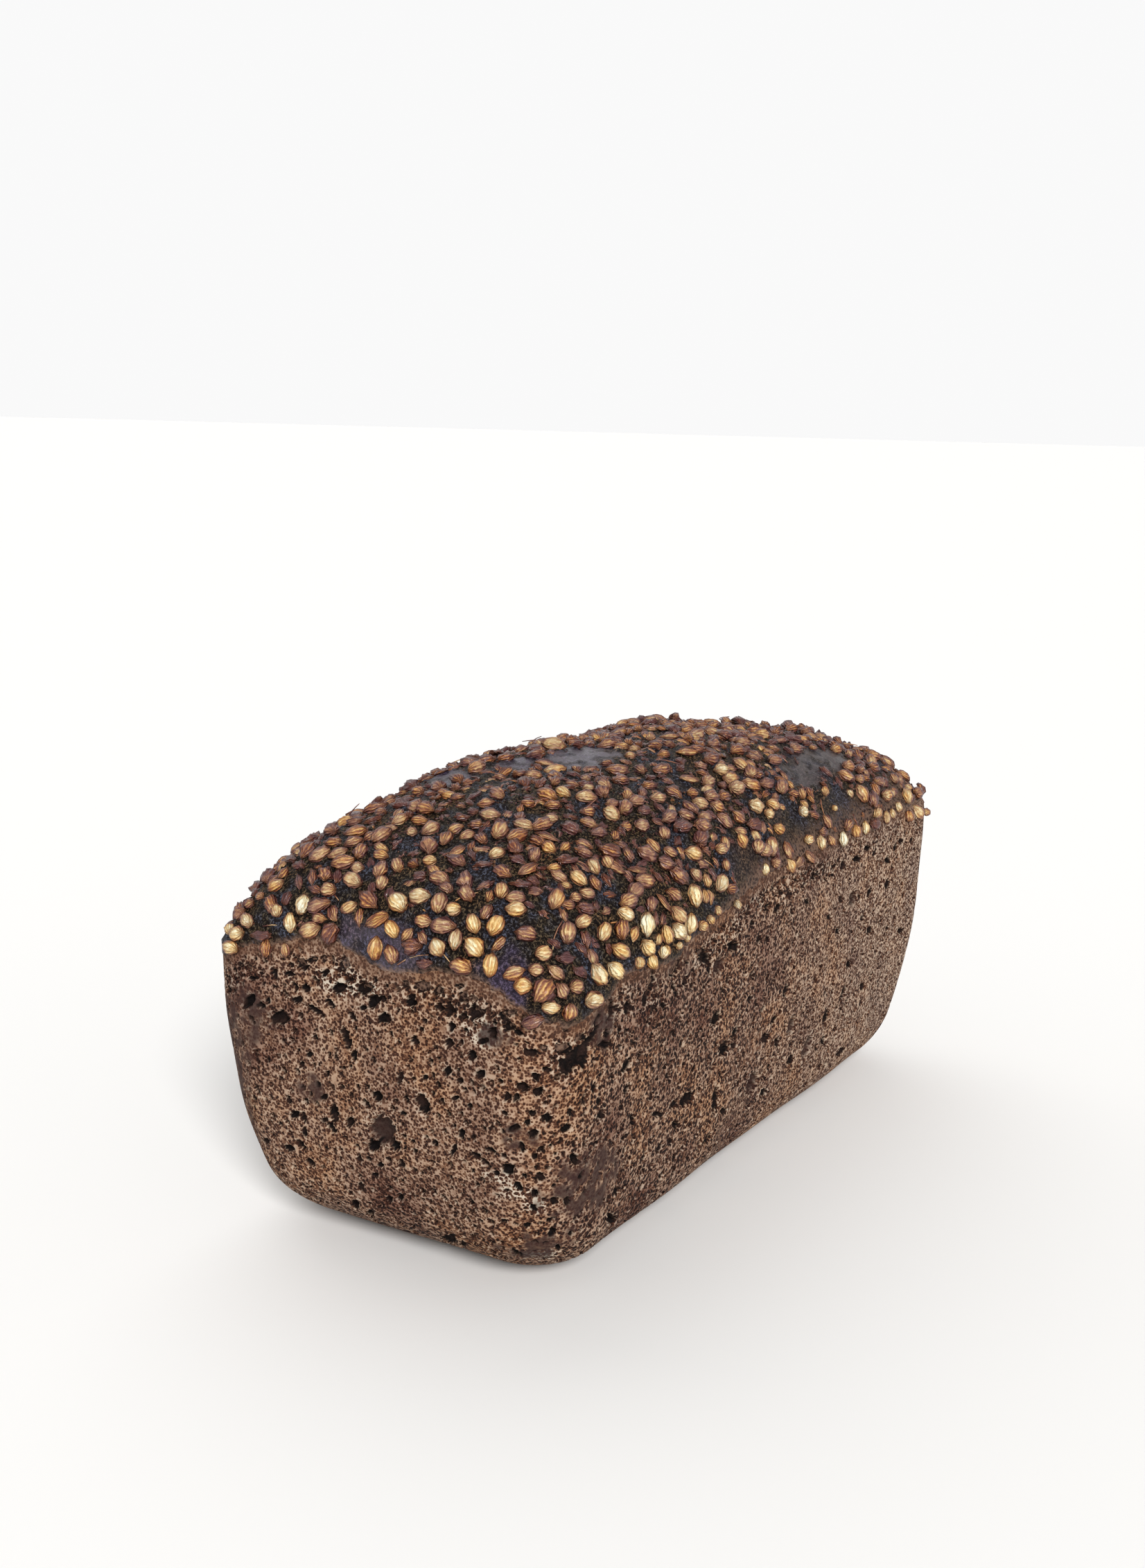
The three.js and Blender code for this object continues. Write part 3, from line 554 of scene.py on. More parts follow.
def choose_holes():
    """Rows of place (3), half length, half height and turn, in millimetres and radians."""
    marks = read_marks(HOLE_CROPS, 5)
    marked = np.array([hole_from_mark(*mark) for mark in marks] + HOLES_SET)
    marked = np.column_stack((np.round(10 * marked[:, :5]) * 0.1, np.round(marked[:, 5])))
    named = np.vstack((marked, HIDDEN_HOLES))
    hidden = slice(-len(HIDDEN_HOLES), None)
    named[hidden, :3] = on_skin(named[hidden, :3])
    named[:, 5] = np.radians(named[:, 5])
    rows = list(named)

    belt = draws(HOLE_START + 1, CREVICE_COUNT, 5)
    x, y = perimeter_place((np.arange(CREVICE_COUNT) + belt[:, 0]) / CREVICE_COUNT)
    below = mix(CREVICE_HIGHEST, CREVICE_LOWEST, belt[:, 1])
    middles = on_skin(np.stack((x, y, border_height(x, y) - below), axis=1))
    size = np.where(x < NEAR_END_X, END_CREVICE_SIZE, np.where(is_seen(x, y), SIDE_CREVICE_SIZE, 1.0))
    half_long = size * mix(0.6, 2.1, belt[:, 2] ** 2)
    half_high = half_long * mix(0.4, 0.95, belt[:, 3])
    turns = mix(-0.6, 0.6, belt[:, 4])
    add_apart(rows, np.column_stack((middles, half_long, half_high, turns)), CREVICE_SPACING)

    tries = draws(HOLE_START, HOLE_TRIES, 5)
    x, y = perimeter_place(tries[:, 0])
    height = mix(HOLE_LOWEST, HOLE_HIGHEST, tries[:, 1])
    under = np.where(height < 0, -height / UNDER_BASE_REACH, 0)
    middles = on_skin(np.stack((x * (1 - under), y * (1 - under), np.maximum(height, 0)), axis=1))
    seen = is_seen(middles[:, 0], middles[:, 1])
    most_seen = np.where(middles[:, 1] < RIGHT_SIDE_Y, HOLE_MOST_SIDE, HOLE_MOST_END)
    half_long = np.where(
        seen,
        mix(HOLE_LEAST, most_seen, tries[:, 2] ** 1.5),
        mix(HOLE_LEAST, HOLE_MOST_HIDDEN, tries[:, 2] ** 4),
    )
    half_high = half_long * mix(0.65, 1.0, tries[:, 3])
    below_border = border_height(middles[:, 0], middles[:, 1]) - middles[:, 2]
    candidates = np.column_stack((middles, half_long, half_high, math.pi * tries[:, 4]))
    add_apart(rows, candidates[below_border > HOLE_BELOW_BORDER], HOLE_SPACING)
    return np.array(rows)


holes = choose_holes()
print(len(holes), "holes,", int(np.sum(holes[:, 3] > 1.2)), "of them longer than 2.4 mm")

# %% [markdown]
# ## The crumb body
#
# The body could be a block with a displaced surface, but a modifier can't tell a wall from a crust.
# Here one fine grid is wrapped round the loaf like paper: its columns run round the walls, and its
# rows run from the middle of the base, up the walls and over the top. Each place is drawn in onto
# the skin. The foam and the holes are then pressed in along the skin's normal, and how deep each
# place was pressed is stored in an attribute, so that the material can paint shade into the pits.

# %% Rows and columns of the grid
BODY_COLUMNS = 1400
BASE_ROWS, WALL_ROWS, TOP_ROWS = 16, 190, 12
ROWS_END_ABOVE_BORDER = 3.5
SUNK_UNDER_CRUST = 1.5


def body_shell_places(column, row):
    """Places on the shell for the grid's columns and rows."""
    x, y = perimeter_place(column / BODY_COLUMNS)
    wall_top = border_height(x, y) + ROWS_END_ABOVE_BORDER
    on_base = np.clip(row / BASE_ROWS, 0, 1) ** 0.6
    up_wall = np.clip((row - BASE_ROWS) / WALL_ROWS, 0, 1)
    over_top = np.clip((row - BASE_ROWS - WALL_ROWS) / TOP_ROWS, 0, 1)
    height = mix(wall_top * up_wall, SHELL_HEIGHT, np.clip(over_top * 2, 0, 1))
    spread = np.minimum(on_base, np.clip(2 - over_top * 2, 0, 1))
    narrowing = SHELL_HALF_WIDTH / SHELL_HALF_LENGTH
    return np.stack((x * (1 - (1 - spread) * narrowing), y * spread, height), axis=1)


def foam_pits(places, spacing):
    """Depth from 0 to 1 of the bubbles that the skin cuts open, for one bubble size."""
    nearest = np.empty(len(places))
    for index, place in enumerate(places):
        distances, _ = noise.voronoi(Vector(place) / spacing)
        nearest[index] = distances[0]
    return ease(0.5, 0.25, nearest)


def place_tree(places):
    """A search tree over places."""
    tree = kdtree.KDTree(len(places))
    for index, place in enumerate(places):
        tree.insert(place, index)
    tree.balance()
    return tree


def press_holes(places, normals, rows):
    """Depth in millimetres, and each place's painted hole shade, hole lip and hollow floor, 0 to 1."""
    depth, painted_hole_shade, lip, floor_share = np.zeros((4, len(places)))
    tree = place_tree(places)
    for x, y, z, half_long, half_high, turn in rows:
        found = tree.find_range((x, y, z), 1.5 * half_long + 0.4)
        if not found:
            continue
        near = np.array([index for _, index, _ in found])
        normal = normals[near[0]]
        level = np.cross((0, 0, 1), normal)
        level /= max(np.linalg.norm(level), 1e-6)
        upward = np.cross(normal, level)
        away = places[near] - (x, y, z)
        along, across = away @ level, away @ upward
        long_way = along * math.cos(turn) + across * math.sin(turn)
        high_way = across * math.cos(turn) - along * math.sin(turn)
        ragged = 1 + 0.2 * np.sin(2.6 * along + x) * np.cos(2.3 * across + y)
        ragged += 0.1 * np.sin(5.1 * across - 3.7 * along + z)
        share = np.hypot(long_way / half_long, high_way / half_high) * ragged
        wide = half_high > WIDE_HOLLOW
        deepest = HOLLOW_DEPTH if wide else min(0.55 + half_high, DEEPEST_HOLE)
        depth[near] = np.maximum(depth[near], deepest * ease(1.15, 0.6, share))
        # Painted shade inside the hole: a wide hollow's floor shows and gets less, a small hole a random
        # amount
        inside = ease(1.1, 0.85, share)
        shade = HOLLOW_SHADE if wide else 1.0
        if half_long < SMALL_HOLE:
            shade = mix(PALEST_HOLE, 1.0, abs(math.sin(12.9 * x + 7.7 * y + 5.3 * z)))
        if wide:
            floor_share[near] = np.maximum(floor_share[near], inside)
        painted_hole_shade[near] = np.maximum(painted_hole_shade[near], inside * shade)
        lip[near] = np.maximum(lip[near], ease(1.45, 1.2, share))
    return depth, painted_hole_shade, lip * (1 - painted_hole_shade), floor_share


# %% [markdown]
# A few stretches of the walls are smooth instead of open: dough pressed against the tin there and
# shut its pores. Others are paler, where flour or torn, dried crumb lies. Both are marked in
# attributes too, as soft ovals round a few chosen places. The torn belt under the rim, with its
# coarser foam, comes and goes round the loaf.

# %% Wrap the grid round the loaf and press the pores in
FOAM_SPACING = 1.5
FOAM_DEPTH, BELT_DEEPER = 0.45, 2.0
FOAM_SHARE_LEAST, FOAM_SHARE_END, FOAM_SHARE_SIDE = 0.1, 0.3, 0.55
BELT_LOW, BELT_HIGH = -9.5, -1.6
DRY_SIDE, FAR_SIDE_CLOSED = 0.3, 0.9
SMOOTH_PATCHES = [
    ((-98, 29.5, 49), (5, 6, 6.5)), ((-97, 36, 43), (6, 8, 10)), ((-94, 36, 25), (8, 6, 10)),
    ((-83, -40, 24), (11, 7, 8)), ((-87, -36, 14), (7, 7, 4)), ((-90, -32, 10), (6, 6, 3)),
    ((-98.1, -29.5, 56.4), (3, 4, 2.2)), ((-97.9, 15, 37), (3, 4, 3)),
    ((-80.7, -41.8, 56.7), (5, 4, 5)), ((-51.5, -42.2, 60.3), (8, 4, 2.4)),
    ((-96.4, -32.6, 37), (4, 4, 3)), ((97, 22, 22), (8, 12, 8)), ((97, -30, 40), (6, 6, 12)),
    ((40, 42, 57), (20, 6, 4)), ((-20, 40, 16), (20, 8, 7)), ((70, 41, 30), (12, 6, 12)),
    ((-80, 40, 50), (10, 6, 6)),
]
PALE_PATCHES = [
    ((-94.6, -31.7, 25.5), (4, 4, 2)), ((-95.9, -28.3, 28.2), (4, 3, 1.7)),
    ((-92.2, -34.5, 22.5), (4, 3, 2)), ((-85.8, -32.7, 9.5), (4, 4, 2)),
    ((-98.2, 5, 60.5), (3, 7, 3.4)), ((-98.4, -25.6, 57), (3, 5, 3)),
    ((-20, 42, 40), (8, 4, 4)), ((98, 5, 30), (4, 7, 4)), ((60, 41, 20), (6, 5, 3)),
]


def wrap_body():
    """The loaf's body as one closed bmesh, with its pits and patches as attributes."""
    body = bmesh.new()
    rows = BASE_ROWS + WALL_ROWS + TOP_ROWS
    bmesh.ops.create_grid(body, x_segments=BODY_COLUMNS, y_segments=rows, size=1)
    grid = np.array([vertex.co for vertex in body.verts])
    column = np.round((grid[:, 0] + 1) / 2 * BODY_COLUMNS)
    row = np.round((grid[:, 1] + 1) / 2 * rows)
    places = on_skin(body_shell_places(column, row))
    normals = skin_normals(places)

    above_border = places[:, 2] - border_height(places[:, 0], places[:, 1])
    blotches = np.array([noise.fractal(Vector(place) / 9, 0.9, 2.0, 4) for place in places])
    smooth = patch_share(places + normals * blotches[:, None], SMOOTH_PATCHES)
    flecks = np.array([noise.fractal(Vector(place) / 2.4, 0.8, 2.0, 3) for place in places])
    smooth *= ease(-0.75, -0.1, blotches) * ease(-0.6, 0.05, flecks)
    belt = ease(BELT_LOW, BELT_LOW + 3, above_border) * ease(BELT_HIGH, BELT_HIGH - 1.5, above_border)
    torn = belt * ease(-0.25, 0.2, blotches)
    open_crumb = ease(0.1, 1.2, places[:, 2]) * ease(1.4, -0.4, above_border)
    far_share = ease(-50, 60, places[:, 0])
    open_share = mix(FOAM_SHARE_END, FOAM_SHARE_SIDE, ease(-96, -86, places[:, 0]))
    open_share *= 1 - FAR_SIDE_CLOSED * far_share
    plain_share = mix(FOAM_SHARE_LEAST, open_share, ease(-0.35, 0.3, blotches))
    foam = foam_pits(places, FOAM_SPACING) * (1 - smooth) * mix(plain_share, TORN_FOAM_SHARE, torn)
    depth, painted_hole_shade, hole_lip, hollow_floor = press_holes(places, normals, holes)
    # Torn crumb and the rims of holes are drawn paler: dry crumb, and partly painted highlight on edges
    # that catch the light
    pale = np.maximum(patch_share(places, PALE_PATCHES), 0.4 * np.maximum(torn, hole_lip))
    pale = np.maximum(pale, DRY_SIDE * ease(-30, 80, places[:, 0]) * ease(-36, -40, places[:, 1]))
    under_crust = SUNK_UNDER_CRUST * ease(0.2, 2.4, above_border)
    foam_depth = FOAM_DEPTH * mix(1, BELT_DEEPER, torn)
    pressed = (foam_depth * foam + depth) * open_crumb + under_crust
    moved = (places - normals * pressed[:, None]) * MM

    attributes = {
        # How much painted shade the material puts into the foam pits and into the holes
        "pit": foam * open_crumb,
        "hole": painted_hole_shade * open_crumb,
        "closed": np.maximum(smooth, hollow_floor),
        "coarse": np.maximum(ease(-96, -86, places[:, 0]) * (1 - far_share), torn),
        "pale": pale,
        # A browner skin band just under the crust's border, and painted shade under the crust's rim
        "lip": ease(-3.4, -0.3, above_border),
    }
    layers = {name: body.verts.layers.float.new(name) for name in attributes}
    for index, vertex in enumerate(body.verts):
        vertex.co = moved[index]
        for name, layer in layers.items():
            vertex[layer] = attributes[name][index]
    bmesh.ops.remove_doubles(body, verts=body.verts, dist=1e-6)
    bmesh.ops.recalc_face_normals(body, faces=body.faces)
    return body


body = wrap_body()
print("the body has", len(body.faces), "faces")

# %% [markdown]
# So fine a mesh is too large for one piece, so the body is cut across into four, as a knife would
# cut it. Each cut gets its own flat face. The edges of a cut are marked sharp, which keeps the
# shading of the walls from bending at the joint.

# %% Cut the body into pieces
CUTS_MM = (None, -62.0, 0.0, 62.0, None)


def new_piece(mesh, name, material):
    """Turns a bmesh into an object that stands for the loaf's node."""
    data = bpy.data.meshes.new(name)
    mesh.to_mesh(data)
    mesh.free()
    data.materials.append(material)
    piece = bpy.data.objects.new(name, data)
    bpy.context.scene.collection.objects.link(piece)
    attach(piece, "root")
    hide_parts("loaf")
    data.calc_loop_triangles()
    print(name, "has", len(data.loop_triangles), "triangles")


def slice_of(mesh, low, high):
    """A closed copy of the part of a bmesh that lies between two places along X."""
    part = mesh.copy()
    for place, direction in ((low, -1), (high, 1)):
        if place is None:
            continue
        bmesh.ops.bisect_plane(
            part,
            geom=part.verts[:] + part.edges[:] + part.faces[:],
            plane_co=(place * MM, 0, 0),
            plane_no=(direction, 0, 0),
            clear_outer=True,
        )
        cut_edges = [edge for edge in part.edges if edge.is_boundary]
        cut_faces = bmesh.ops.contextual_create(part, geom=cut_edges)["faces"]
        for edge in cut_edges:
            edge.smooth = False
        for face in cut_faces:
            face.smooth = False
    return part


for face in body.faces:
    face.smooth = True
slices = [slice_of(body, low, high) for low, high in zip(CUTS_MM, CUTS_MM[1:])]
body.free()

# %% [markdown]
# ## Rye crumb material
#
# Rye crumb is moist and brown. Where the skin is torn open, the thin walls between the bubbles
# are drier and catch the light, and in pale patches they are painted paler: partly their own dry
# colour, partly painted highlight. The bubbles are given painted shade. The finest bubbles, half a
# millimetre to a millimetre wide, are drawn by the material as round cells of two sizes that the
# skin cuts open, in colour as painted shade and as bump, and a third size leaves a few pinholes
# that are painted shade alone. The pits and holes that were pressed in get more painted shade on
# top of them. Slow changes from warm to cool brown run over it all. The closed patches are smoother
# and purplish. Just under the crust the crumb is painted browner, partly for the browner skin there
# and partly as painted shade under the crust's rim.

# %% Make the crumb material
FINE_BUBBLES_MM, BUBBLES_MM, PINHOLES_MM = 0.56, 1.0, 1.35
BLOTCHES_MM, TINTS_MM = 2.2, 20


def make_crumb_material():
    material, tree = new_material("open rye crumb")
    place = add_node(tree, "ShaderNodeTexCoord").outputs["Object"]
    pit, hole, closed, pale, lip, coarse = (
        add_node(tree, "ShaderNodeAttribute", {"attribute_name": name}).outputs["Fac"]
        for name in ("pit", "hole", "closed", "pale", "lip", "coarse")
    )
    fine_cells = add_node(tree, "ShaderNodeTexVoronoi", {
        "feature": "F1", "Scale": 1 / (FINE_BUBBLES_MM * MM), "Randomness": 0.9,
    }, {"Vector": place})
    fine_bubbles = add_node(tree, "ShaderNodeMapRange", {
        "interpolation_type": "SMOOTHSTEP", 1: 0.66, 2: 0.2, 3: 0.0, 4: 0.6,
    }, {0: fine_cells.outputs["Distance"]})
    cells = add_node(tree, "ShaderNodeTexVoronoi", {
        "feature": "F1", "Scale": 1 / (BUBBLES_MM * MM), "Randomness": 1.0,
    }, {"Vector": place})
    coarseness = add_node(tree, "ShaderNodeMapRange", {3: 0.42, 4: 0.74}, {0: coarse})
    larger_bubbles = add_node(tree, "ShaderNodeMapRange", {
        "interpolation_type": "SMOOTHSTEP", 1: 0.58, 2: 0.22, 3: 0.0,
    }, {0: cells.outputs["Distance"], 4: coarseness.outputs[0]})
    bubbles = add_node(tree, "ShaderNodeMath", {"operation": "ADD"}, {
        0: fine_bubbles.outputs[0], 1: larger_bubbles.outputs[0],
    })
    openness = add_node(tree, "ShaderNodeMath", {"operation": "MULTIPLY_ADD", 1: -0.55, 2: 1.0}, {
        0: closed,
    })
    fine = add_node(tree, "ShaderNodeMath", {"operation": "MULTIPLY"}, {
        0: bubbles.outputs[0], 1: openness.outputs[0],
    })
    # The pinholes exist only as painted shade: dark dots with no bump
    pinhole_cells = add_node(tree, "ShaderNodeTexVoronoi", {
        "feature": "F1", "Scale": 1 / (PINHOLES_MM * MM), "Randomness": 1.0,
    }, {"Vector": place})
    pinhole_shade_depth = add_node(tree, "ShaderNodeMapRange", {3: 0.7, 4: 0.95}, {0: coarse})
    pinhole_shade = add_node(tree, "ShaderNodeMapRange", {
        "interpolation_type": "SMOOTHSTEP", 1: 0.33, 2: 0.23, 3: 0.0,
    }, {0: pinhole_cells.outputs["Distance"], 4: pinhole_shade_depth.outputs[0]})
    blotches = add_node(tree, "ShaderNodeTexNoise", {
        "Scale": 1 / (BLOTCHES_MM * MM), "Detail": 3.0, "Roughness": 0.6,
    }, {"Vector": place})
    blotched = add_node(tree, "ShaderNodeMath", {"operation": "MULTIPLY_ADD", 1: 0.7}, {
        0: blotches.outputs[0], 2: fine.outputs[0],
    })
    uneven = add_node(tree, "ShaderNodeMath", {"operation": "SUBTRACT", 1: 0.35, "use_clamp": True}, {
        0: blotched.outputs[0],
    })
    open_pinhole_shade = add_node(tree, "ShaderNodeMath", {"operation": "MULTIPLY"}, {
        0: pinhole_shade.outputs[0], 1: openness.outputs[0],
    })
    small_pit_shade = add_node(tree, "ShaderNodeMath", {"operation": "MAXIMUM"}, {
        0: uneven.outputs[0], 1: open_pinhole_shade.outputs[0],
    })
    pit_shade_share = add_node(tree, "ShaderNodeMath", {"operation": "MAXIMUM"}, {
        0: small_pit_shade.outputs[0], 1: pit,
    })

    # Painted shade: from the pale ridges to near-black pits, for foam cells, pinholes and pressed pits
    pit_shaded_colour = add_node(tree, "ShaderNodeValToRGB", {"stops": [
        (0.0, "#a18874"), (0.28, "#745542"), (0.6, "#40271d"), (1.0, "#170d0a"),
    ]}, {0: pit_shade_share.outputs[0]})
    tint_noise = add_node(tree, "ShaderNodeTexNoise", {
        "Scale": 1 / (TINTS_MM * MM), "Detail": 4.0, "Roughness": 0.65,
    }, {"Vector": place})
    tint = add_node(tree, "ShaderNodeValToRGB", {"stops": [
        (0.36, "#c2aeac"), (0.5, "#ffffff"), (0.64, "#ffedd8"),
    ]}, {0: tint_noise.outputs[0]})
    tinted = add_node(tree, "ShaderNodeMix", {
        "data_type": "RGBA", "blend_type": "MULTIPLY", 0: 1.0,
    }, {MIX_A: pit_shaded_colour.outputs[0], MIX_B: tint.outputs[0]})

    # In pale patches the ridges are painted paler: partly dry crumb and flour, partly painted highlight
    ridge = add_node(tree, "ShaderNodeMapRange", {1: 0.36, 2: 0.02}, {0: pit_shade_share.outputs[0]})
    dry_and_highlit_ridge = add_node(tree, "ShaderNodeMath", {"operation": "MULTIPLY"}, {
        0: ridge.outputs[0], 1: pale,
    })
    dry_and_highlit = add_node(tree, "ShaderNodeMix", {"data_type": "RGBA", MIX_B: linear("#b9ad9c")}, {
        0: dry_and_highlit_ridge.outputs[0], MIX_A: tinted.outputs[MIX_COLOUR],
    })
    # Painted shade under the crust's rim, together with the browner skin band there
    under_rim_shade_share = add_node(tree, "ShaderNodeMath", {"operation": "MULTIPLY", 1: 0.5}, {0: lip})
    under_rim_shaded = add_node(tree, "ShaderNodeMix", {"data_type": "RGBA", MIX_B: linear("#583d2f")}, {
        0: under_rim_shade_share.outputs[0], MIX_A: dry_and_highlit.outputs[MIX_COLOUR],
    })
    smooth_share = add_node(tree, "ShaderNodeMath", {"operation": "MULTIPLY", 1: 0.9}, {0: closed})
    smoothed = add_node(tree, "ShaderNodeMix", {"data_type": "RGBA", MIX_B: linear("#311f1d")}, {
        0: smooth_share.outputs[0], MIX_A: under_rim_shaded.outputs[MIX_COLOUR],
    })
    # Painted shade inside the pressed holes, near black
    hole_shade_share = add_node(tree, "ShaderNodeMapRange", {
        "interpolation_type": "SMOOTHSTEP", 1: 0.1, 2: 0.8,
    }, {0: hole})
    hole_shade_colour = add_node(tree, "ShaderNodeValToRGB", {"stops": [
        (0.45, "#0d0706"), (0.68, "#2a1b16"),
    ]}, {0: blotches.outputs[0]})
    hole_shaded = add_node(tree, "ShaderNodeMix", {"data_type": "RGBA"}, {
        0: hole_shade_share.outputs[0], MIX_A: smoothed.outputs[MIX_COLOUR], MIX_B: hole_shade_colour.outputs[0],
    })

    relief = add_node(tree, "ShaderNodeBump", {
        "Strength": 0.8, "Distance": 0.2 * MM, "invert": True,
    }, {"Height": fine.outputs[0]})
    surface = add_node(tree, "ShaderNodeBsdfPrincipled", {
        "Roughness": 0.8, "IOR": 1.45, "Specular IOR Level": 0.15,
    }, {"Base Color": hole_shaded.outputs[MIX_COLOUR], "Normal": relief.outputs[0]})
    add_node(tree, "ShaderNodeOutputMaterial", links={"Surface": surface.outputs[0]})
    return material


crumb_material = make_crumb_material()
for number, part in enumerate(slices, start=1):
    new_piece(part, f"crumb_slice_{number}", crumb_material)
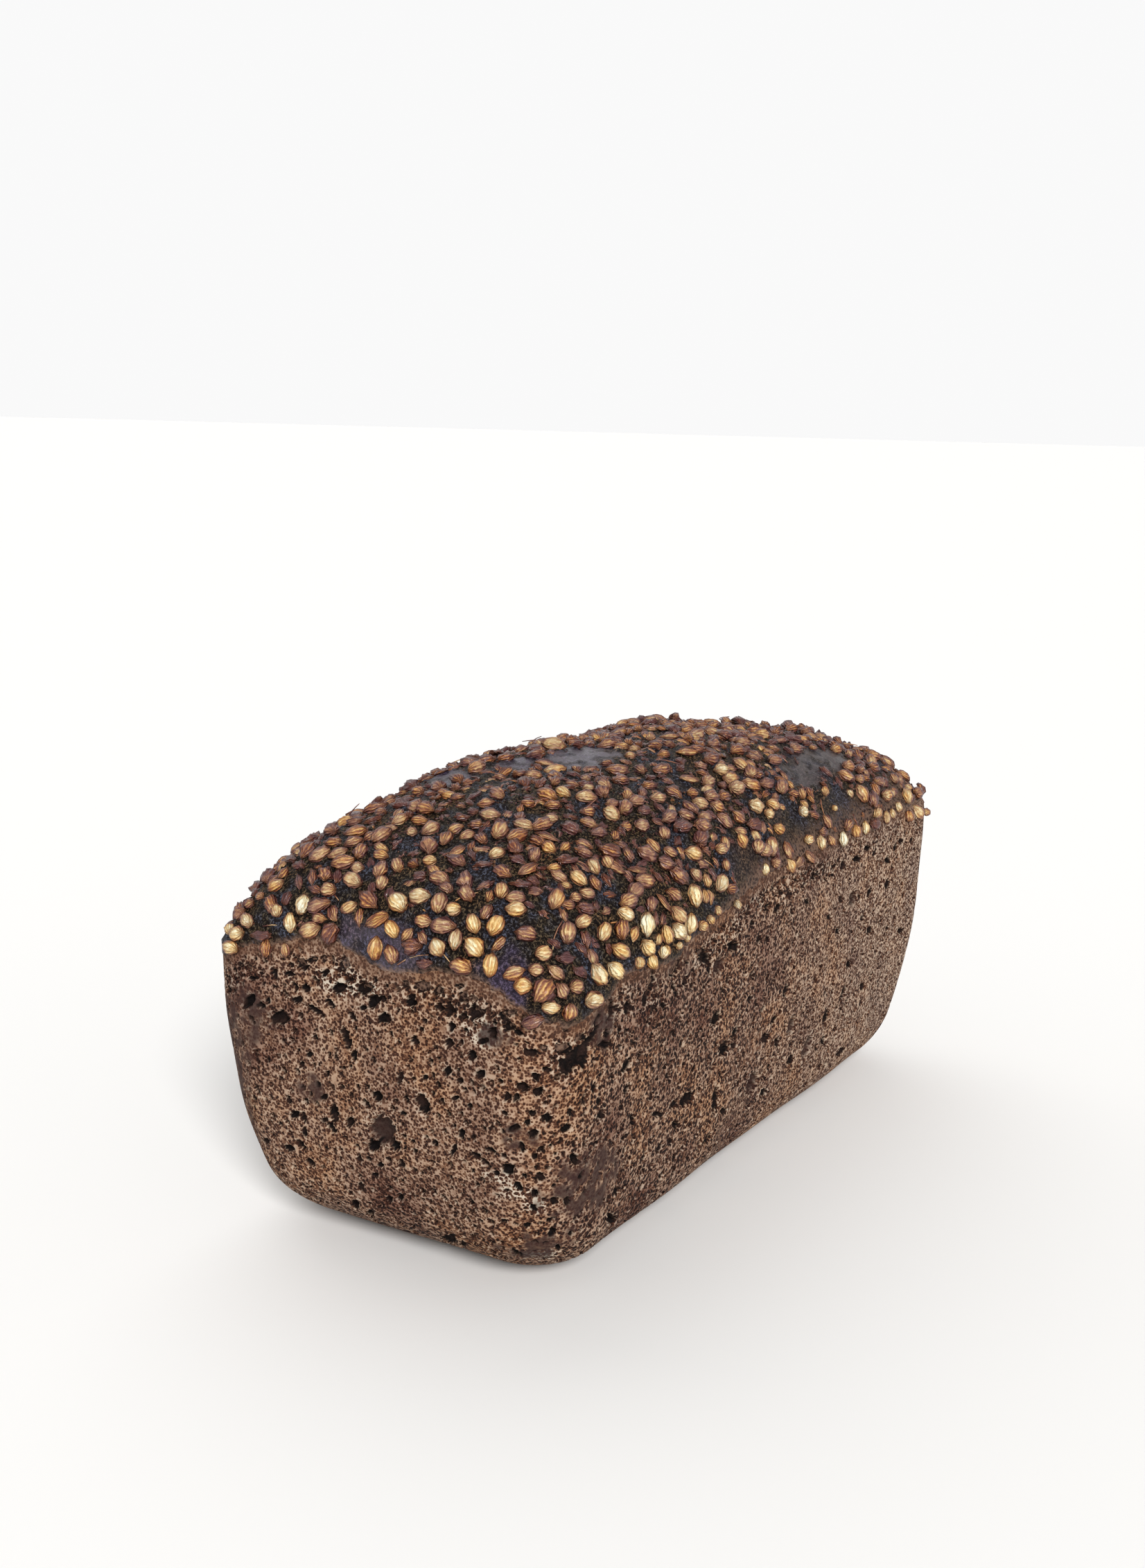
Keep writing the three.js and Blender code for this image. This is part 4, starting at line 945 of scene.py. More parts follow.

# %% [markdown]
# ## Where the seeds lie
#
# Seeds were thrown on the wet dough and stayed where they fell: mostly apart, in drifts and clumps,
# with bare patches between. The seeds that can be told apart were marked. A mark has seven
# whole numbers: the two of its middle, its length, width and turn, its tone from 0, dark, to 100,
# straw, and its kind. One seed on the edge of the rim was given in millimetres instead.
#
# A line of sight is followed to a seed's middle, a little above the skin, or further above it for a
# seed on the outline, and its foot is the skin under it. The turn is carried from the picture onto
# the skin. A seed that points towards the camera looks short, so it is lengthened again, within the
# sizes that such seeds have.
#
# The others are thrown by a rule, each with its own size, turn and depth, and a seed stays only
# where it finds room among those before it. The solid model follows the same rule with the same
# draws, so its fused seeds lie under these. The thrown ones are drawn a little longer and slimmer
# here, and the seed that was given in millimetres lies 4 mm lower there. Last, small dark seeds that
# sank deeper into the dough are thrown into the gaps.

# %% Set and throw the seeds
WHOLE, SPLIT, SHRIVELLED = 0, 1, 2
SEED_CROPS = [
    ((560, 1290), 4.6118, """
75 65 160 120 50 80 0  215 20 150 110 0 70 0  345 65 145 115 100 58 0  435 105 110 100 0 70 0
240 183 120 90 10 52 0  370 218 190 95 5 48 0  40 232 130 95 60 80 0  140 270 110 75 130 50 0
235 290 95 75 60 40 1  175 340 130 120 0 18 0  40 410 135 100 75 48 0  345 350 130 115 70 72 0
455 305 145 100 100 65 0  255 455 110 90 0 12 2  500 478 160 110 15 50 0  585 358 165 125 50 76 0
690 470 165 105 100 70 0  570 200 145 100 75 76 0  718 215 160 120 120 72 0
655 120 115 85 120 40 0  850 105 145 115 0 70 0  845 25 140 100 0 45 0  920 270 150 110 10 35 0
1185 262 155 120 95 55 0  1030 400 125 115 0 66 0  1290 185 125 90 150 65 0
1308 300 115 62 80 25 0  1425 255 140 100 110 76 0  1175 435 150 95 0 5 2  1270 520 110 90 30 10 2
1385 540 170 100 60 82 0  1495 510 140 110 45 95 0  840 530 145 100 165 50 0
982 507 105 100 0 52 0  1115 525 135 90 40 50 0  900 610 125 115 0 72 0  1030 640 180 140 125 44 0
1150 645 120 95 60 45 0  1240 620 110 95 0 55 0  1085 752 130 95 5 76 0  1205 785 125 110 100 50 0
1345 703 150 115 165 76 0  965 850 140 90 160 33 0  1540 240 140 110 90 44 0
1530 385 150 105 30 72 0  1115 40 150 115 110 64 0  1310 95 130 85 10 18 0
"""),
    ((320, 1290), 5.2267, """
290 15 80 70 0 50 0  210 75 90 70 150 48 0  140 150 120 95 140 45 0  205 205 130 100 60 72 0
70 265 95 85 90 80 0  135 300 120 110 0 76 0  85 400 130 90 20 84 0  385 85 140 110 70 45 0
425 130 110 95 80 66 0  625 85 165 115 110 88 0  740 90 175 95 165 40 0  530 215 150 95 90 82 0
685 262 190 125 165 62 0  745 185 115 70 10 52 0  835 285 170 105 120 16 0  315 310 180 90 0 10 2
350 410 140 55 85 48 0  490 410 120 78 80 50 0  965 105 140 85 150 60 0  1110 50 170 100 45 33 0
1180 200 200 110 155 52 1  1180 400 180 100 100 62 0
"""),
    ((860, 1220), 6.0308, """
420 690 215 125 90 97 0  420 885 160 145 45 90 0  245 605 170 110 25 86 0
355 1018 115 100 90 76 0  563 940 120 100 100 90 0  660 928 130 85 90 76 0
525 820 110 75 100 70 0  592 775 180 105 75 80 0  690 745 185 105 45 92 0  740 882 80 60 120 76 0
818 818 80 60 120 80 0  795 680 190 85 95 80 0  690 610 210 80 50 66 0  590 500 230 65 50 50 1
835 440 215 110 80 82 0  905 688 110 100 0 70 0  980 635 92 70 45 70 0  1045 560 100 75 65 65 0
938 445 130 80 80 60 0  955 308 130 75 75 66 0  855 260 140 100 50 60 0  1067 330 165 105 105 77 0
1225 495 112 60 85 86 0  1462 210 112 60 90 92 0  1165 380 110 85 0 33 0  1122 172 122 85 80 50 0
1078 35 125 110 0 60 0  830 75 220 110 20 70 0  640 60 140 100 30 50 0  660 435 150 120 40 45 0
470 515 150 110 90 40 0  330 400 200 120 140 50 0  270 490 170 100 160 52 0
410 320 210 110 10 50 0  370 210 200 75 5 50 1  155 185 230 110 30 60 1  110 50 220 110 15 30 0
280 85 150 100 60 40 0  440 75 200 90 20 38 0  600 160 170 120 20 34 0  700 270 200 110 40 35 0
540 280 130 75 45 12 2  90 300 120 90 60 12 2  1545 150 110 100 0 50 0  1450 45 180 110 0 60 0
"""),
    ((600, 1130), 5.6, """
105 520 170 150 90 42 0  112 628 120 105 0 64 0  125 370 170 120 150 56 0
243 440 150 110 110 55 1  75 210 190 105 15 50 0  30 300 140 70 0 50 0  370 275 130 100 0 18 2
480 330 110 100 0 35 0  532 440 120 100 60 35 0  600 258 180 100 5 56 0  565 155 145 95 170 50 0
655 90 140 100 25 50 0  470 90 150 65 150 20 2  335 105 120 75 170 30 0  185 35 140 90 20 40 0
25 70 120 105 0 45 0  680 390 200 140 130 62 0  650 565 150 90 160 72 0  870 335 170 90 15 60 0
820 430 190 80 160 50 0  800 520 140 100 70 28 0  830 620 140 95 20 22 2  960 580 120 80 100 45 0
1070 525 130 115 30 66 0  1060 425 200 80 20 50 1  1015 335 160 95 160 42 0
1090 280 120 90 0 60 0  1185 72 140 95 25 72 0  1110 175 130 95 0 42 0  1055 100 180 65 20 54 0
1375 115 180 70 5 62 0  905 160 120 95 0 35 0  1250 370 170 130 20 22 0  1400 320 150 85 20 50 0
1385 235 120 105 0 40 0  1220 625 190 105 0 12 2  1350 560 140 105 20 35 0
1430 675 150 110 60 66 0  1305 770 170 115 40 72 0  1155 755 150 100 30 50 0
1120 685 120 90 0 60 0  1215 820 95 65 20 60 0  1445 810 130 95 60 44 0  1380 895 140 100 10 56 0
1285 925 105 95 0 50 0  700 715 150 115 30 34 0  905 695 210 100 150 50 1  850 812 180 80 5 14 2
690 870 145 120 100 66 0  545 650 170 75 175 8 2  450 570 115 62 60 8 2  335 545 160 90 150 55 1
330 625 140 80 30 30 0  195 775 170 100 20 50 0  245 845 130 100 30 42 0  400 800 160 130 80 40 0
410 890 160 120 60 46 0  1545 640 120 100 60 60 0  1400 30 105 65 0 60 0  1500 70 130 105 60 40 0
1480 400 130 75 0 30 0  30 760 110 105 0 12 2
"""),
    ((360, 1120), 5.6, """
1075 865 130 110 100 60 0  1060 755 160 115 110 50 0  1060 635 130 90 10 56 0
1195 720 125 85 75 55 0  1310 445 95 90 0 60 0  1065 480 240 110 145 50 0
1215 350 150 100 150 62 0  1350 255 180 80 5 50 0  1295 55 130 80 0 14 0  1110 150 120 80 160 42 0
1000 230 190 90 165 34 0  1000 340 160 80 160 14 2  830 325 130 80 165 42 0
665 445 160 80 10 42 0  680 530 140 80 170 42 0  860 450 190 72 165 50 0  835 530 160 80 160 46 0
895 610 140 118 120 42 0  570 640 200 100 155 52 0  715 620 160 90 160 50 0
760 700 200 98 170 50 0  470 600 150 75 130 34 0  875 745 120 110 0 55 0  840 850 170 110 30 66 0
615 800 118 112 90 34 0  645 925 140 125 0 55 0  400 720 110 90 0 24 0  400 850 130 75 80 30 1
330 670 110 75 0 4 2  275 780 110 80 130 40 0  215 885 150 90 150 60 0  150 820 115 75 120 34 0
"""),
    ((860, 1060), 5.6, """
118 645 150 125 30 72 0  235 590 150 105 130 46 0  325 540 130 80 170 50 0  135 550 115 65 0 40 0
370 740 130 118 0 50 0  240 740 100 92 0 42 0  155 810 92 85 90 40 0  545 800 125 108 80 50 0
585 670 140 100 150 42 0  690 750 150 110 170 8 0  840 840 150 125 120 24 0
1170 860 135 98 65 66 0  1290 910 130 120 90 52 0  1400 910 180 100 88 62 0
1470 765 112 90 30 72 0  1390 645 95 90 0 78 0  1425 570 130 100 20 66 0  1280 590 140 118 20 80 0
1260 730 130 102 0 18 0  1145 675 130 108 40 42 0  1030 700 160 100 40 46 0
975 590 130 108 30 50 0  840 560 140 90 20 66 0  720 650 140 95 20 42 0  850 735 160 70 10 38 0
870 672 105 62 0 50 0  760 590 150 80 40 33 0  520 590 130 72 40 22 2  390 620 112 98 0 22 0
500 515 130 62 0 55 0  780 470 105 88 0 50 0  620 470 150 55 30 40 0  900 390 150 80 155 62 0
1010 290 170 58 0 76 0  1080 365 150 80 0 66 0  1130 440 150 125 0 66 0  1250 410 170 80 20 55 0
1165 240 150 55 35 60 0  860 310 120 80 20 34 0  430 410 125 80 0 44 0  1490 430 180 90 90 55 0
925 505 140 62 0 50 0  1030 500 105 80 0 40 0  1240 310 105 65 80 50 0  1305 320 100 78 0 28 0
925 200 140 62 0 34 0  530 285 150 80 0 42 0  360 280 112 88 30 44 0  280 165 95 82 0 56 0
545 155 105 82 0 46 0  1140 130 120 55 0 46 0  1375 400 105 65 0 40 0  1270 180 120 60 20 40 0
1440 210 110 55 0 42 0  950 80 150 70 0 40 0  180 290 200 65 5 44 0  60 400 140 98 30 50 0
200 370 130 62 0 34 0
"""),
    ((1100, 1070), 6.5333, """
535 955 150 100 80 78 0  630 935 120 65 65 58 0  738 925 145 85 90 98 0  855 840 130 105 80 70 0
790 790 110 80 120 45 0  955 810 130 80 85 85 0  600 760 150 95 60 50 0  375 665 115 110 0 84 0
395 590 100 70 40 66 0  370 490 110 80 80 58 0  588 470 100 85 90 66 0  680 630 60 50 0 80 0
905 360 110 100 0 56 0  920 500 230 130 60 62 0  825 490 90 70 60 74 0  1085 390 120 110 0 50 0
1155 515 120 95 0 64 0  1215 490 90 80 60 58 0  1345 520 200 110 75 76 0  1265 620 110 80 70 78 0
1215 680 100 65 75 76 0  1150 715 130 75 85 70 0  1240 350 120 90 60 52 0  1165 195 150 90 10 52 0
1060 110 150 70 20 52 0  1040 250 150 100 0 40 0  800 240 130 80 10 54 0  600 280 130 80 40 22 0
480 50 80 60 0 54 0  1450 490 110 60 0 46 0  60 90 120 60 20 50 0  260 400 110 50 40 60 0
460 540 100 60 50 40 0  790 40 110 60 20 24 0
"""),
]
SEEDS_SET = [(-63.6, -42.1, 64.0, 63, 3.6, 2.5, 85, WHOLE)]
SEED_MIDDLE_ABOVE, SEED_OVER_OUTLINE = 0.9, 2.0
FOOT_STEPS, FOOT_STEP, LEAST_SLOPE = 6, 0.25, 0.3
# The least cosine between sight and normal, squared cosines between sight and seed, a least square
GRAZING = 0.12
SEEN_IN_FULL, MOST_HEAD_ON = 0.0199, 0.95
LEAST_SQUARE = 0.2
MARKED_LEAST, MARKED_MOST, MARKED_MOST_SPLIT = 2.4, 5.0, 5.4
MARKED_SLIMMEST, MARKED_NARROWEST, MARKED_WIDEST = 0.66, 1.7, 4.0
MARKED_WIDER, MARKED_ROUNDEST = 1.06, 0.8
SEEN_SUNK = 0.2
SEEN_CLEARANCE = 5.2
SEED_TRIES = 9000
SEED_DRAW_START, SMALL_DRAW_START = 20611, 31337
SEED_LEAST, SEED_MOST = 3.2, 4.9
SMALL_LEAST, SMALL_MOST = 2.5, 3.6
SLIM_LEAST, SLIM_MOST = 0.7, 0.9
SEED_TILT = 0.35
SUNK_LEAST, SUNK_MOST = 0.2, 0.62
SMALL_SUNK_LEAST, SMALL_SUNK_MOST = 0.3, 0.6
SMALL_ABOVE_RIM = 4.0
SMALL_SHRIVELLED, SMALL_THINNING = 0.55, 0.3
SEED_CROWDING, SEED_THINNING = 0.86, 0.42
THROWN_PAST_EDGE = 45.0
BARE_PATCHES = [
    ((-92, 42, 62), (10, 5, 6)), ((-98, -3, 68), (5, 10, 6)), ((-98, -30, 66), (6, 7, 6)),
    ((-18, -40.3, 74.7), (7.5, 5, 5.5)), ((8, -39, 76.6), (8, 5.5, 6)),
    ((36.5, -39, 77.4), (13, 4.5, 4.5)), ((47, -30, 86), (19, 6, 7)),
    ((30.5, -31.3, 85), (9, 4.5, 5)), ((-21, -1, 94), (13, 7, 9)), ((-47.6, 16, 91), (6, 6, 8)),
    ((-35, 7.3, 93), (5, 4.5, 8)), ((66, 12, 92), (12, 7, 8)), ((20, 24, 92), (12, 6, 8)),
]


def seed_lies(up, turn, tilt):
    """Directions in which seeds lie, from their upward directions, turns and tilts."""
    level = np.stack((-up[:, 2], np.zeros(len(up)), up[:, 0]), axis=1)
    level /= np.linalg.norm(level, axis=1, keepdims=True)
    lie = level * np.cos(turn)[:, None] + np.cross(up, level) * np.sin(turn)[:, None]
    lie = lie + up * tilt[:, None]
    return lie / np.linalg.norm(lie, axis=1, keepdims=True)


def seed_reach(lie, length, width, direction):
    """How far seeds reach from their middles in a direction."""
    share = np.sum(lie * direction, axis=-1)
    across = np.sqrt(np.maximum(1 - share ** 2, 0))
    return 1 / np.hypot(share / (length / 2), across / (width / 2))


def foot_under(middle):
    """The place on the skin straight under a place that lies above it."""
    normal = skin_normals(middle[None])[0]
    foot = middle
    for _ in range(FOOT_STEPS):
        ahead, behind = outside(np.array((foot + normal * FOOT_STEP, foot - normal * FOOT_STEP)))
        slope = max((ahead - behind) / (2 * FOOT_STEP), LEAST_SLOPE)
        foot = foot - normal * outside(foot[None])[0] / slope
    return foot


def seed_from_mark(pixel, magnification, numbers):
    """A seed's foot, turn in degrees, length and width in millimetres, tone and kind."""
    length, width, turn, tone, kind = numbers
    middle = sighted(pixel, SEED_MIDDLE_ABOVE)
    if middle is None:
        middle = sighted(pixel, SEED_OVER_OUTLINE)
    foot = foot_under(middle)
    up = skin_normals(foot[None])[0]
    level = np.array((-up[2], 0, up[0]))
    level /= np.linalg.norm(level)

    sight = line_of_sight(pixel)
    lie = RIGHTWARD * math.cos(math.radians(turn)) - UPWARD * math.sin(math.radians(turn))
    slide = sight / (sight @ up) if abs(sight @ up) > GRAZING else up
    lie = lie - slide * (lie @ up)
    lie /= np.linalg.norm(lie)
    turned = math.degrees(math.atan2(lie @ np.cross(up, level), lie @ level)) % 180

    millimetres = (middle - EYE) @ AHEAD / FITTED_LENS_PX / magnification
    length, width = length * millimetres, width * millimetres
    head_on = min((lie @ sight) ** 2, MOST_HEAD_ON)
    if head_on > SEEN_IN_FULL:
        square = max(length ** 2 - head_on * width ** 2, LEAST_SQUARE)
        length = math.sqrt(square / (1 - head_on))
    length = np.clip(length, MARKED_LEAST, MARKED_MOST_SPLIT if kind == SPLIT else MARKED_MOST)
    least_width = MARKED_SLIMMEST * length if kind == WHOLE else MARKED_NARROWEST
    width = np.clip(width * MARKED_WIDER, least_width, MARKED_WIDEST)
    if length < width:
        length, width = width, max(length, MARKED_ROUNDEST * width)
    return *foot, turned, length, width, tone, kind


def set_seeds():
    """The marked seeds as rows of middle (3), lie (3), up (3), length, width, tone and kind."""
    marks = read_marks(SEED_CROPS, 7)
    marked = np.array([seed_from_mark(*mark) for mark in marks] + SEEDS_SET)
    feet, turn = np.round(marked[:, :3], 1), np.radians(np.round(marked[:, 3]))
    length, width = np.round(marked[:, 4], 1), np.round(marked[:, 5], 1)
    up = skin_normals(feet)
    lie = seed_lies(up, turn, np.zeros(len(up)))
    middles = feet + up * (width * (0.5 - SEEN_SUNK))[:, None]
    return np.column_stack((middles, lie, up, length, width, marked[:, 6] / 100, marked[:, 7]))


def throw_seeds(start, lengths, sunk_range, above_rim, before, clearance, thinning):
    """Rows of middle, lie, up, length and width of every thrown seed that found room."""
    shares = draws(start, SEED_TRIES, 7)
    wide_x = (2 * shares[:, 0] - 1) * (SHELL_HALF_LENGTH + THROWN_PAST_EDGE)
    wide_y = (2 * shares[:, 1] - 1) * (SHELL_HALF_WIDTH + THROWN_PAST_EDGE)
    length = mix(*lengths, shares[:, 2])
    width = length * mix(SLIM_LEAST, SLIM_MOST, shares[:, 3])
    turn = math.pi * shares[:, 4]
    tilt = SEED_TILT * (2 * shares[:, 5] - 1)
    sunk = mix(*sunk_range, shares[:, 6] ** 2)

    past_end = np.maximum(np.abs(wide_x) - SHELL_HALF_LENGTH, 0)
    past_side = np.maximum(np.abs(wide_y) - SHELL_HALF_WIDTH, 0)
    feet = on_skin(np.stack((
        np.clip(wide_x, -SHELL_HALF_LENGTH, SHELL_HALF_LENGTH),
        np.clip(wide_y, -SHELL_HALF_WIDTH, SHELL_HALF_WIDTH),
        SHELL_HEIGHT - past_end - past_side,
    ), axis=1))
    on_crust = feet[:, 2] >= rim_height(feet[:, 0], feet[:, 1]) + length / 4 + above_rim
    allowed = on_crust & ((past_end == 0) | (past_side == 0))
    for middle, half in BARE_PATCHES:
        allowed &= oval_reach(feet, middle, half) >= 1

    up = skin_normals(feet)
    lie = seed_lies(up, turn, tilt)
    middles = feet + up * (width * (0.5 - sunk))[:, None]
    rows = np.column_stack((middles, lie, up, length, width))
    kept = list(before)
    for row in rows[allowed]:
        others = np.array(kept)
        gap = others[:, :3] - row[:3]
        distance = np.linalg.norm(gap, axis=1)
        if np.min(distance[:len(before)]) < clearance:
            continue
        close = distance <= 2 * SEED_MOST
        direction = gap[close] / distance[close][:, None]
        x, y, _ = row[:3]
        drift = math.sin(x / 5.3 + y / 8 + 0.6) * math.sin(y / 4.7 - x / 9 + 2.1)
        space = SEED_CROWDING + thinning * max(drift, 0)
        own = seed_reach(row[3:6], row[9], row[10], direction)
        theirs = seed_reach(others[close, 3:6], others[close, 9], others[close, 10], direction)
        if np.all(distance[close] > space * (own + theirs)):
            kept.append(row)
    return np.array(kept[len(before):])


# %% [markdown]
# Thrown seeds get a tone and a kind by chance too. Most are whole. Some have split in half, and
# some have shrivelled and turned dark red. Seeds near the rim stayed paler than those on the crown.

# %% Give every seed its tone and kind
TONE_DRAW_START = 4409
SPLIT_SHARE, SHRIVELLED_SHARE = 0.15, 0.24
THROWN_LONGER, THROWN_SLIMMER = 1.1, 0.93
PALER_RIM = 0.2
SMALL_DARKER = 0.3
DARKEST_THROWN, TONE_SPREAD, TONE_SPREAD_MORE = 0.2, 0.36, 0.16


def seed_tones(thrown):
    """A tone from 0, dark, to 1, straw, and a kind for every thrown seed."""
    shares = draws(TONE_DRAW_START, len(thrown), 4)
    above_border = thrown[:, 2] - border_height(thrown[:, 0], thrown[:, 1])
    small = ease(SEED_LEAST + 0.2, SMALL_LEAST, thrown[:, 9])
    tones = DARKEST_THROWN + TONE_SPREAD * shares[:, 0] + TONE_SPREAD_MORE * shares[:, 1]
    tones = tones + PALER_RIM * ease(9, 1, above_border)
    tones = tones - SMALL_DARKER * small
    kinds = np.where(shares[:, 2] < SPLIT_SHARE, SPLIT, WHOLE)
    shrivelled = SHRIVELLED_SHARE + SMALL_SHRIVELLED * small
    kinds = np.where(shares[:, 2] > 1 - shrivelled, SHRIVELLED, kinds)
    tones = np.where(kinds == SHRIVELLED, 0.5 * shares[:, 3] ** 1.5, tones)
    return np.column_stack((np.clip(tones, 0, 1), kinds))


seen_seeds = set_seeds()
large_seeds = throw_seeds(
    SEED_DRAW_START, (SEED_LEAST, SEED_MOST), (SUNK_LEAST, SUNK_MOST), 0,
    seen_seeds[:, :11], SEEN_CLEARANCE, SEED_THINNING,
)
small_seeds = throw_seeds(
    SMALL_DRAW_START, (SMALL_LEAST, SMALL_MOST), (SMALL_SUNK_LEAST, SMALL_SUNK_MOST), SMALL_ABOVE_RIM,
    np.vstack((seen_seeds[:, :11], large_seeds)), 0, SMALL_THINNING,
)
thrown_seeds = np.vstack((large_seeds, small_seeds))
tones_and_kinds = seed_tones(thrown_seeds)
thrown_seeds[:, 9] *= THROWN_LONGER
thrown_seeds[:, 10] *= THROWN_SLIMMER
seeds = np.vstack((seen_seeds, np.column_stack((thrown_seeds, tones_and_kinds))))
print(len(seen_seeds), "marked,", len(large_seeds), "large and", len(small_seeds), "small seeds")

# %% [markdown]
# ## The crust
#
# The crust is a cap over the top of the loaf, a little proud of the walls. At its border it thins
# out and dives under the crumb along a wavering line, which is how a baked rim meets a torn wall.
# It is made from a second grid, drawn in from the shell in the same way. The dough also climbs a
# little round each seed. Below, the cap closes with a flat face that lies hidden in the loaf.

# %% Form the crust
CRUST_COLUMNS, CRUST_ROWS = 376, 230
CRUST_TOP_SHARE = 0.7
CRUST_ROW_GATHERING = 1.7
CRUST_REACH = 3.2
CRUST_PROUD = 0.16
CRUST_SUNK_EDGE = 0.9
CRUST_FLOOR_MM = 46.0
CRUST_BUBBLE = 0.5
DOUGH_CLIMB = 0.4


def crust_shell_places(grid):
    """Places on the shell for a square grid: its middle covers the top, its border the sides."""
    ring = np.maximum(np.abs(grid[:, 0]), np.abs(grid[:, 1]))
    spread = grid / np.maximum(ring, CRUST_TOP_SHARE)[:, None]
    x, y = spread[:, 0] * SHELL_HALF_LENGTH, spread[:, 1] * SHELL_HALF_WIDTH
    down = np.clip((ring - CRUST_TOP_SHARE) / (1 - CRUST_TOP_SHARE), 0, 1)
    down = 1 - (1 - down) ** CRUST_ROW_GATHERING
    lowest = border_height(x, y) - CRUST_REACH
    return np.stack((x, y, mix(SHELL_HEIGHT, lowest, down)), axis=1)


def form_crust():
    cap = bmesh.new()
    bmesh.ops.create_grid(cap, x_segments=CRUST_COLUMNS, y_segments=CRUST_ROWS, size=1)
    grid = np.array([vertex.co[:2] for vertex in cap.verts])
    places = on_skin(crust_shell_places(grid))
    normals = skin_normals(places)
    above_border = places[:, 2] - border_height(places[:, 0], places[:, 1])
    waver = np.array([noise.fractal(Vector(place) / 4.0, 0.8, 2.0, 3) for place in places]) * 1.1
    bubbles = np.array([noise.fractal(Vector(place) / 2.6, 0.8, 2.1, 4) for place in places])
    bare = patch_share(places, BARE_PATCHES) * mix(0.35, 1, ease(-0.3, 0.25, waver + 0.2))
    bare *= mix(1, 0.3, ease(-6, 14, places[:, 0]) * ease(-34, -38, places[:, 1]))
    steep_sheen = mix(0.75, 0.0, ease(-20, -30, places[:, 1]))
    crown_sheen = mix(1, 0.75, ease(-15, -30, places[:, 1]))
    crown_sheen *= mix(0.55, 1.1, ease(-42, -22, places[:, 0]))
    bare *= mix(1, 0.55, ease(-36, -39, places[:, 1]) * ease(-40, -20, places[:, 0]))
    rise = mix(-CRUST_SUNK_EDGE, CRUST_PROUD, ease(-0.9, 0.5, above_border + waver))
    lift = rise + CRUST_BUBBLE * bubbles * mix(1, 0.35, bare) * ease(0.0, 2.0, above_border)

    tree = place_tree(places)
    for row in seeds:
        reach = row[10] / 2 + 0.8
        found = tree.find_range(row[:3], reach)
        near = np.array([index for _, index, _ in found], int)
        if len(near):
            away = np.linalg.norm(places[near] - row[:3], axis=1)
            lift[near] += DOUGH_CLIMB * ease(reach, reach - 1.3, away)

    moved = (places + normals * lift[:, None]) * MM
    blend_width = mix(1.5, 10, ease(-60, 30, places[:, 0]))
    attributes = {
        "rim_side": ease(1.0, 0.0, (above_border + 0.7 * waver) / blend_width),
        "bare": bare,
        "sheen": bare ** 1.5 * mix(steep_sheen, crown_sheen, ease(78, 85, places[:, 2])),
        "earthy": ease(-80, -45, places[:, 0]) * ease(-5, -25, places[:, 1]),
    }
    layers = {name: cap.verts.layers.float.new(name) for name in attributes}
    for index, vertex in enumerate(cap.verts):
        vertex.co = moved[index]
        for name, layer in layers.items():
            vertex[layer] = attributes[name][index]
    border = [edge for edge in cap.edges if edge.is_boundary]
    skirt = bmesh.ops.extrude_edge_only(cap, edges=border)["geom"]
    for vertex in [item for item in skirt if isinstance(item, bmesh.types.BMVert)]:
        vertex.co = Vector((vertex.co.x * 0.93, vertex.co.y * 0.86, CRUST_FLOOR_MM * MM))
    low_edges = [item for item in skirt if isinstance(item, bmesh.types.BMEdge) and item.is_boundary]
    bmesh.ops.contextual_create(cap, geom=low_edges)
    bmesh.ops.recalc_face_normals(cap, faces=cap.faces)
    for face in cap.faces:
        face.smooth = True
    return cap


crust = form_crust()
print("the crust has", len(crust.faces), "faces")

# %% [markdown]
# The crust is thin baked dough, almost black, with a dull skin that turns bluish grey where it
# mirrors the light. Between the seeds it is grainy and broken, like wet soil, with brown specks. The
# bare patches are more even: violet, which is partly the skin's own colour and partly a painted
# bluish reflection, earthy brown down the right side, and shining grey on the crown. Towards its
# border the crust was pressed against the tin, stayed moist and is brown, with small bubbles whose
# hollow middles get painted shade.

# %% Make the crust material
GRAIN_MM, RIM_BUBBLES_MM, CLOUDS_MM = 0.55, 0.85, 9


